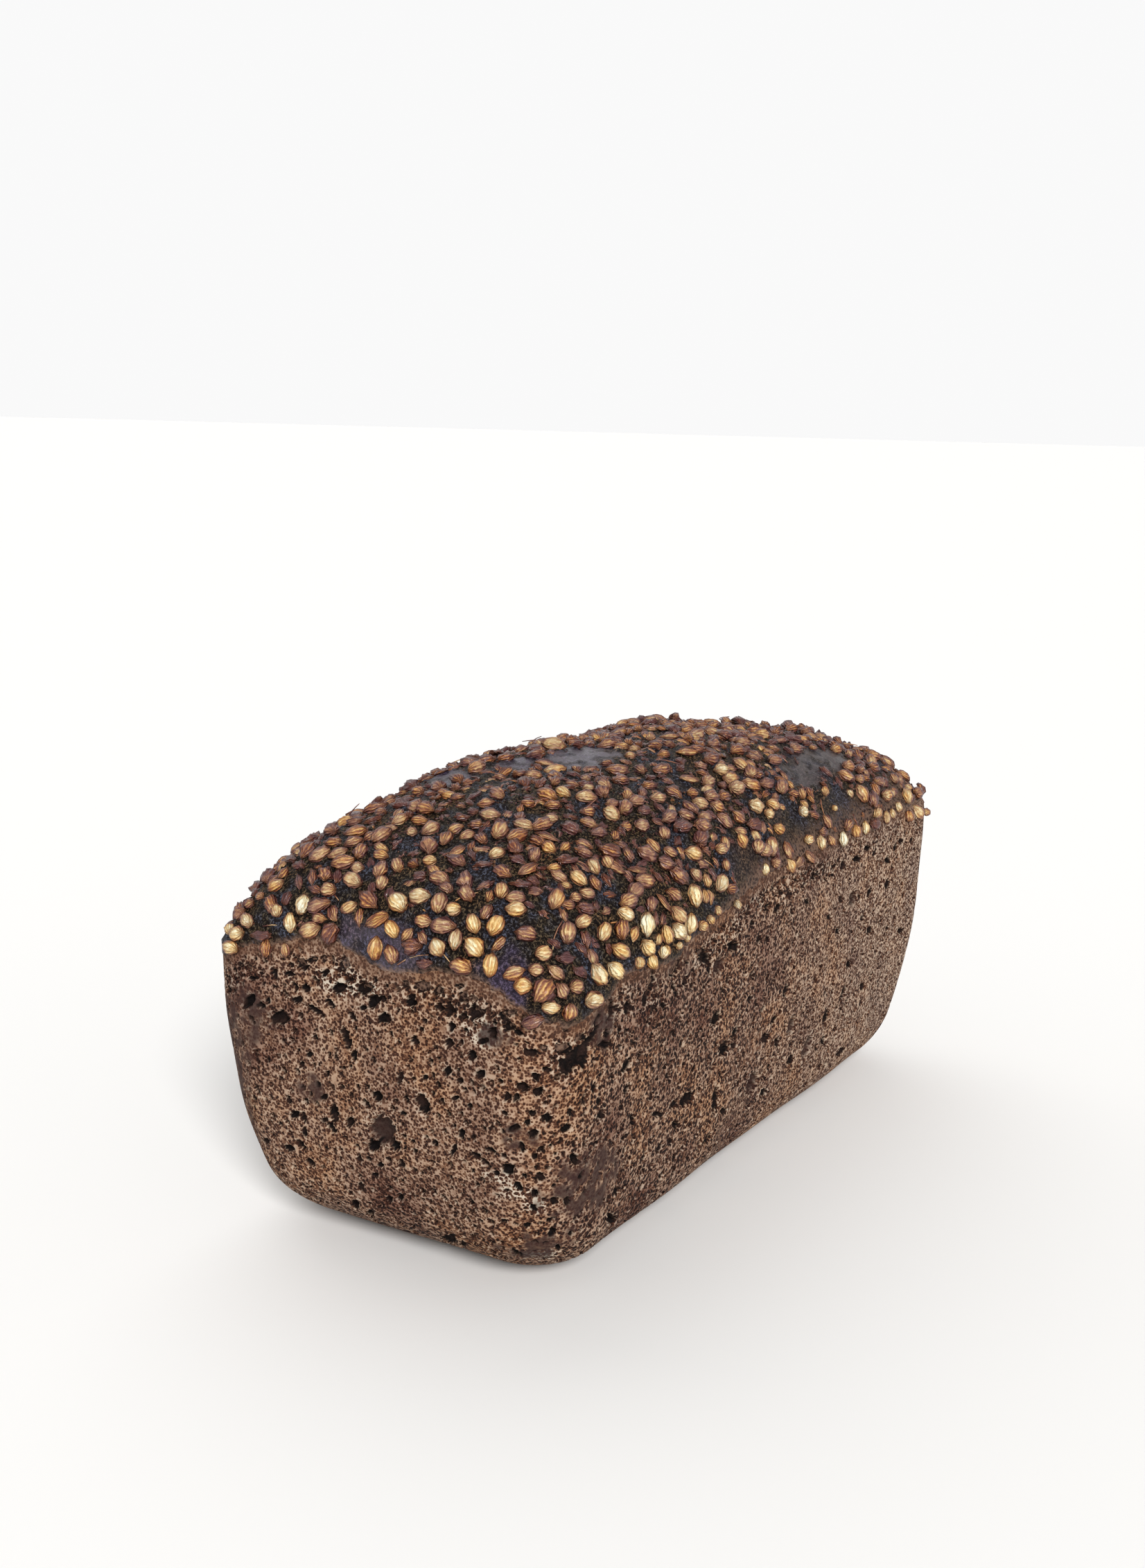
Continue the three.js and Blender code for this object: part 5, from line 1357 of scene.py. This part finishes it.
def make_crust_material():
    material, tree = new_material("dark baked rye crust")
    place = add_node(tree, "ShaderNodeTexCoord").outputs["Object"]
    rim_side, bare, sheen, earthy = (
        add_node(tree, "ShaderNodeAttribute", {"attribute_name": name}).outputs["Fac"]
        for name in ("rim_side", "bare", "sheen", "earthy")
    )
    clouds = add_node(tree, "ShaderNodeTexNoise", {
        "Scale": 1 / (CLOUDS_MM * MM), "Detail": 4.0, "Roughness": 0.65,
    }, {"Vector": place})
    baked = add_node(tree, "ShaderNodeValToRGB", {"stops": [
        (0.32, "#0b0807"), (0.5, "#120d0b"), (0.62, "#171316"), (0.75, "#211813"),
    ]}, {0: clouds.outputs[0]})
    grain = add_node(tree, "ShaderNodeTexNoise", {
        "Scale": 1 / (GRAIN_MM * MM), "Detail": 3.0, "Roughness": 0.75,
    }, {"Vector": place})
    speck_colour = add_node(tree, "ShaderNodeValToRGB", {"stops": [
        (0.38, "#7a6044"), (0.5, "#5c5141"), (0.6, "#565a69"),
    ]}, {0: clouds.outputs[0]})
    speck_share = add_node(tree, "ShaderNodeMapRange", {1: 0.49, 2: 0.63, 3: 0.0, 4: 0.9}, {
        0: grain.outputs[0],
    })
    specked = add_node(tree, "ShaderNodeMix", {"data_type": "RGBA"}, {
        0: speck_share.outputs[0], MIX_A: baked.outputs[0], MIX_B: speck_colour.outputs[0],
    })
    bare_share = add_node(tree, "ShaderNodeMath", {"operation": "MULTIPLY", 1: 0.85}, {0: bare})
    # The bare patches' violet: partly the skin's own colour, partly a painted bluish reflection
    bare_skin_and_reflection = add_node(tree, "ShaderNodeValToRGB", {"stops": [
        (0.36, "#1d1722"), (0.5, "#332b3a"), (0.66, "#584d69"),
    ]}, {0: grain.outputs[0]})
    bare_tone = add_node(tree, "ShaderNodeMix", {
        "data_type": "RGBA", "blend_type": "MULTIPLY", MIX_B: linear("#efe0ae"),
    }, {0: earthy, MIX_A: bare_skin_and_reflection.outputs[0]})
    bared = add_node(tree, "ShaderNodeMix", {"data_type": "RGBA"}, {
        0: bare_share.outputs[0], MIX_A: specked.outputs[MIX_COLOUR],
        MIX_B: bare_tone.outputs[MIX_COLOUR],
    })
    cells = add_node(tree, "ShaderNodeTexVoronoi", {
        "feature": "F1", "Scale": 1 / (RIM_BUBBLES_MM * MM), "Randomness": 1.0,
    }, {"Vector": place})
    # Brown moist crust at the border, with painted shade in the hollow middles of its small bubbles
    rim_brown_and_bubble_shade = add_node(tree, "ShaderNodeValToRGB", {"stops": [
        (0.12, "#1d120e"), (0.34, "#43312a"), (0.6, "#72594a"),
    ]}, {0: cells.outputs["Distance"]})
    browned = add_node(tree, "ShaderNodeMix", {"data_type": "RGBA"}, {
        0: rim_side, MIX_A: bared.outputs[MIX_COLOUR], MIX_B: rim_brown_and_bubble_shade.outputs[0],
    })
    rim_relief = add_node(tree, "ShaderNodeMath", {"operation": "MULTIPLY"}, {
        0: cells.outputs["Distance"], 1: rim_side,
    })
    grain_strength = add_node(tree, "ShaderNodeMapRange", {1: 0.0, 2: 1.0, 3: 1.0, 4: 0.5}, {
        0: bare,
    })
    heights = add_node(tree, "ShaderNodeMath", {"operation": "MULTIPLY_ADD"}, {
        0: grain.outputs[0], 1: grain_strength.outputs[0], 2: rim_relief.outputs[0],
    })
    relief = add_node(tree, "ShaderNodeBump", {"Strength": 1.0, "Distance": 0.5 * MM}, {
        "Height": heights.outputs[0],
    })
    gloss = add_node(tree, "ShaderNodeMapRange", {1: 0.0, 2: 1.0, 3: 0.12, 4: 0.9}, {0: sheen})
    polish = add_node(tree, "ShaderNodeMapRange", {1: 0.0, 2: 1.0, 3: 0.5, 4: 0.38}, {0: sheen})
    surface = add_node(tree, "ShaderNodeBsdfPrincipled", {
        "IOR": 1.45, "Specular Tint": linear("#fbf0ee"),
    }, {
        "Roughness": polish.outputs[0],
        "Base Color": browned.outputs[MIX_COLOUR],
        "Specular IOR Level": gloss.outputs[0],
        "Normal": relief.outputs[0],
    })
    add_node(tree, "ShaderNodeOutputMaterial", links={"Surface": surface.outputs[0]})
    return material


crust_material = make_crust_material()
new_piece(crust, "crust", crust_material)

# %% [markdown]
# ## Coriander seeds
#
# A coriander seed is a small hollow fruit: an oval with a point at each end and fine pale ribs.
# One seed of about eighty faces is shaped from a sphere, and a copy is set down for every place,
# stretched and turned as its row says. Two things are stored at each of its corners: its place
# inside its own seed, from which the material draws the ribs, and the seed's tone.

# %% Shape the seeds
SEED_SIDES, SEED_BANDS = 12, 7
KIND_NAMES = ("whole", "split", "shrivelled")
RIB_HEIGHT = 0.035
CRUMPLING = (0.2, 0.5)
FLATTEST_SEED = 0.86


def seed_form(kind):
    """One seed of unit half length along X, as a bmesh."""
    form = bmesh.new()
    bmesh.ops.create_uvsphere(form, u_segments=SEED_SIDES, v_segments=SEED_BANDS, radius=1)
    for vertex in form.verts:
        x, y, z = vertex.co.z, vertex.co.y, -vertex.co.x
        ring = math.hypot(y, z)
        slim = (1 - min(abs(x), 1) ** 1.9) ** 0.64 / ring if ring > 1e-3 else 0
        if kind == SPLIT:
            z *= 0.75 - 0.4 * math.exp(-(y / 0.3) ** 2) if z > 0 else 0.4
        if kind == WHOLE:
            slim *= 1 + RIB_HEIGHT * math.cos(SEED_SIDES / 2 * math.atan2(z, y))
        if kind == SHRIVELLED:
            slim *= 0.8 + 0.2 * math.sin(3 * x + 3 * math.atan2(z, y))
        point = 1.08 if ring < 1e-3 else 1.0
        vertex.co = (x * point, y * slim, z * slim)
    return form


def set_down(kind):
    """Joins a copy of the seed at every place of its kind into one bmesh."""
    heap = bmesh.new()
    own_place = heap.verts.layers.float_vector.new("own_place")
    tone_layer = heap.verts.layers.float.new("tone")
    form = seed_form(kind)
    unit_places = [vertex.co.copy() for vertex in form.verts]
    data = bpy.data.meshes.new("one seed")
    form.to_mesh(data)
    form.free()
    for row in seeds[seeds[:, 12] == kind]:
        middle, lie, up = Vector(row[:3]), Vector(row[3:6]), Vector(row[6:9])
        side = up.cross(lie).normalized()
        turned = Matrix((lie, side, lie.cross(side))).transposed()
        flatter = mix(FLATTEST_SEED, 1, ease(0.3, 0.7, row[11]))
        spread = Matrix.Diagonal((row[9] / 2, row[10] / 2, row[10] / 2 * flatter))
        count = len(heap.verts)
        heap.from_mesh(data)
        heap.verts.ensure_lookup_table()
        crumple = mix(*CRUMPLING, ease(0.6, 0.3, row[11]))
        for unit_place, vertex in zip(unit_places, heap.verts[count:]):
            wrinkle = noise.noise(unit_place * 2.1 + middle) + 0.5 * noise.noise(unit_place * 4.6 - middle)
            dent = 1 + crumple * wrinkle
            vertex.co = (middle + turned @ (spread @ unit_place) * dent) * MM
            vertex[own_place] = unit_place
            vertex[tone_layer] = row[11]
    bpy.data.meshes.remove(data)
    for face in heap.faces:
        face.smooth = True
    bmesh.ops.recalc_face_normals(heap, faces=heap.faces)
    return heap


# %% [markdown]
# Dry coriander has a hard, slightly waxy husk. Its ribs are paler than the furrows between them,
# toasting darkens the tips, and no two seeds have quite the same colour. The ribs are drawn round
# the seed's own axis from the angle of each place, stronger on some seeds than on others. Dark
# streaks run along the wrinkles, and a fine noise blotches the whole. Where the husk turns edge-on
# to the view it is painted darker and redder, as painted shade. Low down on the seed it is painted
# darker too, partly because it is wet with dough there and partly as painted shade where the seed
# meets the crust. Every one of these effects shifts the tone before it is turned to a colour. Dark
# seeds are glossier than pale ones.

# %% Make the seed material
RIBS, RIB_WAVER = 11, 8.0
BLOTCH_MM, REGION_MM, STREAK_STEP_MM = 1.5, 6, 0.3
STREAKS = (1.1, 3.4, 3.4)


def make_seed_material():
    material, tree = new_material("toasted coriander husk")
    place = add_node(tree, "ShaderNodeTexCoord").outputs["Object"]
    own = add_node(tree, "ShaderNodeAttribute", {"attribute_name": "own_place"}).outputs["Vector"]
    tone = add_node(tree, "ShaderNodeAttribute", {"attribute_name": "tone"}).outputs["Fac"]
    parts = add_node(tree, "ShaderNodeSeparateXYZ", links={0: own})
    angle = add_node(tree, "ShaderNodeMath", {"operation": "ARCTAN2"}, {
        0: parts.outputs["Y"], 1: parts.outputs["Z"],
    })
    blotch = add_node(tree, "ShaderNodeTexNoise", {
        "Scale": 1 / (BLOTCH_MM * MM), "Detail": 3.0, "Roughness": 0.6,
    }, {"Vector": place})
    waver = add_node(tree, "ShaderNodeMath", {"operation": "MULTIPLY", 1: RIB_WAVER}, {
        0: blotch.outputs[0],
    })
    ribs_turn = add_node(tree, "ShaderNodeMath", {"operation": "MULTIPLY_ADD", 1: float(RIBS)}, {
        0: angle.outputs[0], 2: waver.outputs[0],
    })
    ribs = add_node(tree, "ShaderNodeMath", {"operation": "SINE"}, {0: ribs_turn.outputs[0]})
    region = add_node(tree, "ShaderNodeTexNoise", {"Scale": 1 / (REGION_MM * MM)}, {
        "Vector": place,
    })
    rib_strength = add_node(tree, "ShaderNodeMapRange", {1: 0.4, 2: 0.62, 3: 0.02, 4: 0.09}, {
        0: region.outputs[0],
    })
    wrinkled = add_node(tree, "ShaderNodeMapRange", {1: 0.4, 2: 0.72, 3: 2.4, 4: 1.0}, {0: tone})
    wrinkled_ribs = add_node(tree, "ShaderNodeMath", {"operation": "MULTIPLY"}, {
        0: ribs.outputs[0], 1: wrinkled.outputs[0],
    })
    rib_shift = add_node(tree, "ShaderNodeMath", {"operation": "MULTIPLY"}, {
        0: wrinkled_ribs.outputs[0], 1: rib_strength.outputs[0],
    })
    shift = add_node(tree, "ShaderNodeMapRange", {1: 0.3, 2: 0.7, 3: -0.13, 4: 0.1}, {
        0: blotch.outputs[0],
    })
    apart = add_node(tree, "ShaderNodeVectorMath", {
        "operation": "SCALE", "Scale": STREAK_STEP_MM / MM,
    }, {0: place})
    drawn_out = add_node(tree, "ShaderNodeVectorMath", {
        "operation": "MULTIPLY_ADD", 1: STREAKS,
    }, {0: own, 2: apart.outputs[0]})
    streaks = add_node(tree, "ShaderNodeTexNoise", {"Scale": 1.0, "Detail": 2.0}, {
        "Vector": drawn_out.outputs[0],
    })
    streak_shift = add_node(tree, "ShaderNodeMapRange", {1: 0.36, 2: 0.62, 3: -0.2, 4: 0.07}, {
        0: streaks.outputs[0],
    })
    # Darker low down on the seed: husk wet with dough, and painted shade where the seed meets the crust
    under = add_node(tree, "ShaderNodeMapRange", {1: -0.3, 2: 0.75, 3: -0.22, 4: 0.02}, {
        0: parts.outputs["Z"],
    })
    # Painted shade: the husk is drawn darker and redder where it turns edge-on to the view
    edge_on = add_node(tree, "ShaderNodeLayerWeight", {"Blend": 0.5}).outputs["Facing"]
    painted_edge_shade = add_node(tree, "ShaderNodeMapRange", {1: 0.2, 2: 0.85, 3: 0.04, 4: -0.4}, {
        0: edge_on,
    })
    toned = tone
    for tone_shift in (rib_shift, shift, streak_shift, under, painted_edge_shade):
        toned = add_node(tree, "ShaderNodeMath", {"operation": "ADD"}, {
            0: toned, 1: tone_shift.outputs[0],
        }).outputs[0]
    husk = add_node(tree, "ShaderNodeValToRGB", {"stops": [
        (0.0, "#563230"), (0.15, "#6a4038"), (0.4, "#966b4f"), (0.6, "#ba9a6c"), (0.74, "#cab68b"),
        (0.87, "#dcd3b3"), (0.97, "#ece8cc"),
    ]}, {0: toned})
    warmth = add_node(tree, "ShaderNodeValToRGB", {"stops": [
        (0.38, "#f4f6ff"), (0.5, "#fffbf5"), (0.62, "#ffe5bc"),
    ]}, {0: region.outputs[0]})
    warmed = add_node(tree, "ShaderNodeMix", {
        "data_type": "RGBA", "blend_type": "MULTIPLY", 0: 1.0,
    }, {MIX_A: husk.outputs[0], MIX_B: warmth.outputs[0]})
    tip = add_node(tree, "ShaderNodeMath", {"operation": "ABSOLUTE"}, {0: parts.outputs["X"]})
    tip_share = add_node(tree, "ShaderNodeMapRange", {1: 0.6, 2: 1.05, 3: 0.0, 4: 0.6}, {
        0: tip.outputs[0],
    })
    tipped = add_node(tree, "ShaderNodeMix", {"data_type": "RGBA", MIX_B: linear("#744628")}, {
        0: tip_share.outputs[0], MIX_A: warmed.outputs[MIX_COLOUR],
    })
    wrinkles = add_node(tree, "ShaderNodeMath", {"operation": "MULTIPLY_ADD", 1: 5.0}, {
        0: blotch.outputs[0], 2: ribs.outputs[0],
    })
    relief = add_node(tree, "ShaderNodeBump", {"Strength": 0.9, "Distance": 0.1 * MM}, {
        "Height": wrinkles.outputs[0],
    })
    polish = add_node(tree, "ShaderNodeMapRange", {1: 0.25, 2: 0.65, 3: 0.3, 4: 0.42}, {0: tone})
    gloss = add_node(tree, "ShaderNodeMapRange", {1: 0.25, 2: 0.65, 3: 0.6, 4: 0.34}, {0: tone})
    surface = add_node(tree, "ShaderNodeBsdfPrincipled", {"IOR": 1.46}, {
        "Roughness": polish.outputs[0],
        "Specular IOR Level": gloss.outputs[0],
        "Base Color": tipped.outputs[MIX_COLOUR],
        "Normal": relief.outputs[0],
    })
    add_node(tree, "ShaderNodeOutputMaterial", links={"Surface": surface.outputs[0]})
    return material


seed_material = make_seed_material()
for kind, kind_name in enumerate(KIND_NAMES):
    new_piece(set_down(kind), "seeds_" + kind_name, seed_material)

# %% [markdown]
# ## Stalks and broken husks
#
# Each fruit hung on a thin stalk, and a few stalks lie among the seeds. A stalk is a small ring
# that is carried along a bent line, one ring to each bend, with each ring bridged to the next.
# Between the seeds lie hundreds of broken bits of husk. Each is a small rough lump, pressed flat,
# and all of them share the seeds' material at darker tones.

# %% Lay the stalks
STALK_RADIUS = 0.17
STALK_RINGS, STALK_SIDES = 5, 5
STALK_DRAW_START, STALK_COUNT = 7177, 20
STALK_LEAST, STALK_MOST = 3.0, 7.5
STALK_LIFT = 1.5
STALKS_SEEN = [
    [(-99.3, -7.9, 66.5), (-98.4, -9.6, 67.8), (-98.4, -12, 68.8), (-98.3, -14.3, 69.3)],
    [(-98.2, -17.4, 70.1), (-98.3, -18.5, 69.3), (-98.3, -19.6, 68.3)],
    [(-84.6, -34.7, 76), (-86.6, -34.9, 75), (-88.4, -35.3, 73.8), (-90.1, -36.1, 72.1)],
    [(-93.5, -16.9, 79), (-92.6, -17.6, 79.6), (-91.5, -19.2, 80.2), (-90.7, -20, 80.5)],
    [(-97.8, 25.7, 68), (-97.9, 23.3, 68.7), (-97.9, 21.3, 68.9)],
    [(-72.8, -38.4, 73.6), (-70.5, -38.8, 73.3), (-68.8, -39.4, 72.6)],
    [(-33.7, -38.2, 78.2), (-31.9, -38.9, 77), (-31, -39.5, 75.9)],
    [(-95.4, 9.9, 76.3), (-96, 8.4, 75.6)],
    [(29.1, -37.3, 80.5), (27.1, -38.6, 78.9), (26.3, -39.7, 77.2)],
]


def lay_stalk(mesh, line, tone):
    """Adds one closed stalk along a line of places."""
    first = len(mesh.verts)
    places = [Vector(place) for place in line]
    rings = []
    for index, place in enumerate(places):
        ahead = places[min(index + 1, len(places) - 1)] - places[max(index - 1, 0)]
        turn = ahead.to_track_quat("Z", "Y").to_matrix().to_4x4()
        thinner = 1 - 0.45 * index / (len(places) - 1)
        ring = bmesh.ops.create_circle(
            mesh,
            cap_ends=False,
            segments=STALK_SIDES,
            radius=STALK_RADIUS * thinner * MM,
            matrix=Matrix.Translation(place * MM) @ turn,
        )["verts"]
        rings.append(list({edge for vertex in ring for edge in vertex.link_edges}))
    for ring, following in zip(rings, rings[1:]):
        bmesh.ops.bridge_loops(mesh, edges=ring + following)
    for end in (rings[0], rings[-1]):
        bmesh.ops.contextual_create(mesh, geom=end)
    mesh.verts.ensure_lookup_table()
    for vertex in mesh.verts[first:]:
        vertex[mesh.verts.layers.float["tone"]] = tone
        vertex[mesh.verts.layers.float_vector["own_place"]] = (0.0, 0.3, 0.6)


def random_stalks():
    """Bent lines that lie over the crust, each with a tone."""
    shares = draws(STALK_DRAW_START, STALK_COUNT, 7)
    lines = []
    for east, north, heading, length, bend, tone, lean in shares:
        middle = np.array((mix(-90, 90, east), mix(-36, 36, north)))
        way = math.tau * heading
        reach = mix(STALK_LEAST, STALK_MOST, length)
        along = np.linspace(-0.5, 0.5, STALK_RINGS) * reach
        aside = (along ** 2 / reach) * mix(-1, 1, bend)
        x = middle[0] + along * math.cos(way) - aside * math.sin(way)
        y = middle[1] + along * math.sin(way) + aside * math.cos(way)
        feet = on_skin(np.stack((x, y, np.full(STALK_RINGS, SHELL_HEIGHT)), axis=1))
        lift = STALK_LIFT * (1 + lean * (along / reach + 0.5))
        lines.append((feet + skin_normals(feet) * lift[:, None], mix(0.1, 0.5, tone)))
    return lines


stalks = bmesh.new()
stalks.verts.layers.float.new("tone")
stalks.verts.layers.float_vector.new("own_place")
for line in STALKS_SEEN:
    lay_stalk(stalks, line, 0.55)
for line, tone in random_stalks():
    lay_stalk(stalks, line, tone)
for face in stalks.faces:
    face.smooth = len(face.verts) == 4
bmesh.ops.recalc_face_normals(stalks, faces=stalks.faces)
new_piece(stalks, "stalks", seed_material)

# %% Scatter the broken husks
HUSK_DRAW_START, HUSK_TRIES = 5531, 5200
HUSK_LEAST, HUSK_MOST = 0.4, 1.3
HUSK_DARKEST, HUSK_PALEST = 0.0, 0.5


def scatter_husks():
    """Flat, rough bits of husk over the crust, fewer on its bare patches."""
    shares = draws(HUSK_DRAW_START, HUSK_TRIES, 8)
    x = (2 * shares[:, 0] - 1) * SHELL_HALF_LENGTH
    y = (2 * shares[:, 1] - 1) * SHELL_HALF_WIDTH
    feet = on_skin(np.stack((x, y, np.full(len(x), SHELL_HEIGHT)), axis=1))
    above_border = feet[:, 2] - border_height(feet[:, 0], feet[:, 1])
    bare = patch_share(feet, BARE_PATCHES)
    wanted = (above_border > 3.0) & (bare < shares[:, 7] ** 0.5)
    up = skin_normals(feet)
    lie = seed_lies(up, math.tau * shares[:, 2], mix(-0.6, 0.6, shares[:, 3]))

    bit = bmesh.new()
    bmesh.ops.create_icosphere(bit, subdivisions=1, radius=1)
    data = bpy.data.meshes.new("one husk")
    bit.to_mesh(data)
    bit.free()
    heap = bmesh.new()
    own_place = heap.verts.layers.float_vector.new("own_place")
    tone_layer = heap.verts.layers.float.new("tone")
    for index in np.flatnonzero(wanted):
        out, ahead = Vector(up[index]), Vector(lie[index])
        side = out.cross(ahead).normalized()
        turned = Matrix((ahead, side, ahead.cross(side))).transposed()
        half = mix(HUSK_LEAST, HUSK_MOST, shares[index, 4] ** 2) / 2
        spread = Matrix.Diagonal((half, half * mix(0.3, 0.8, shares[index, 5]), half * 0.35))
        middle = Vector(feet[index]) + out * mix(0.1, 0.5, shares[index, 3])
        tone = mix(HUSK_DARKEST, HUSK_PALEST, shares[index, 6] ** 1.5)
        count = len(heap.verts)
        heap.from_mesh(data)
        heap.verts.ensure_lookup_table()
        for vertex in heap.verts[count:]:
            unit_place = vertex.co.copy()
            rough = 1 + 0.6 * noise.noise(unit_place * 2 + middle)
            vertex.co = (middle + turned @ (spread @ unit_place) * rough) * MM
            vertex[own_place] = unit_place * 0.5
            vertex[tone_layer] = tone
    bpy.data.meshes.remove(data)
    bmesh.ops.recalc_face_normals(heap, faces=heap.faces)
    return heap


new_piece(scatter_husks(), "broken_husks", seed_material)
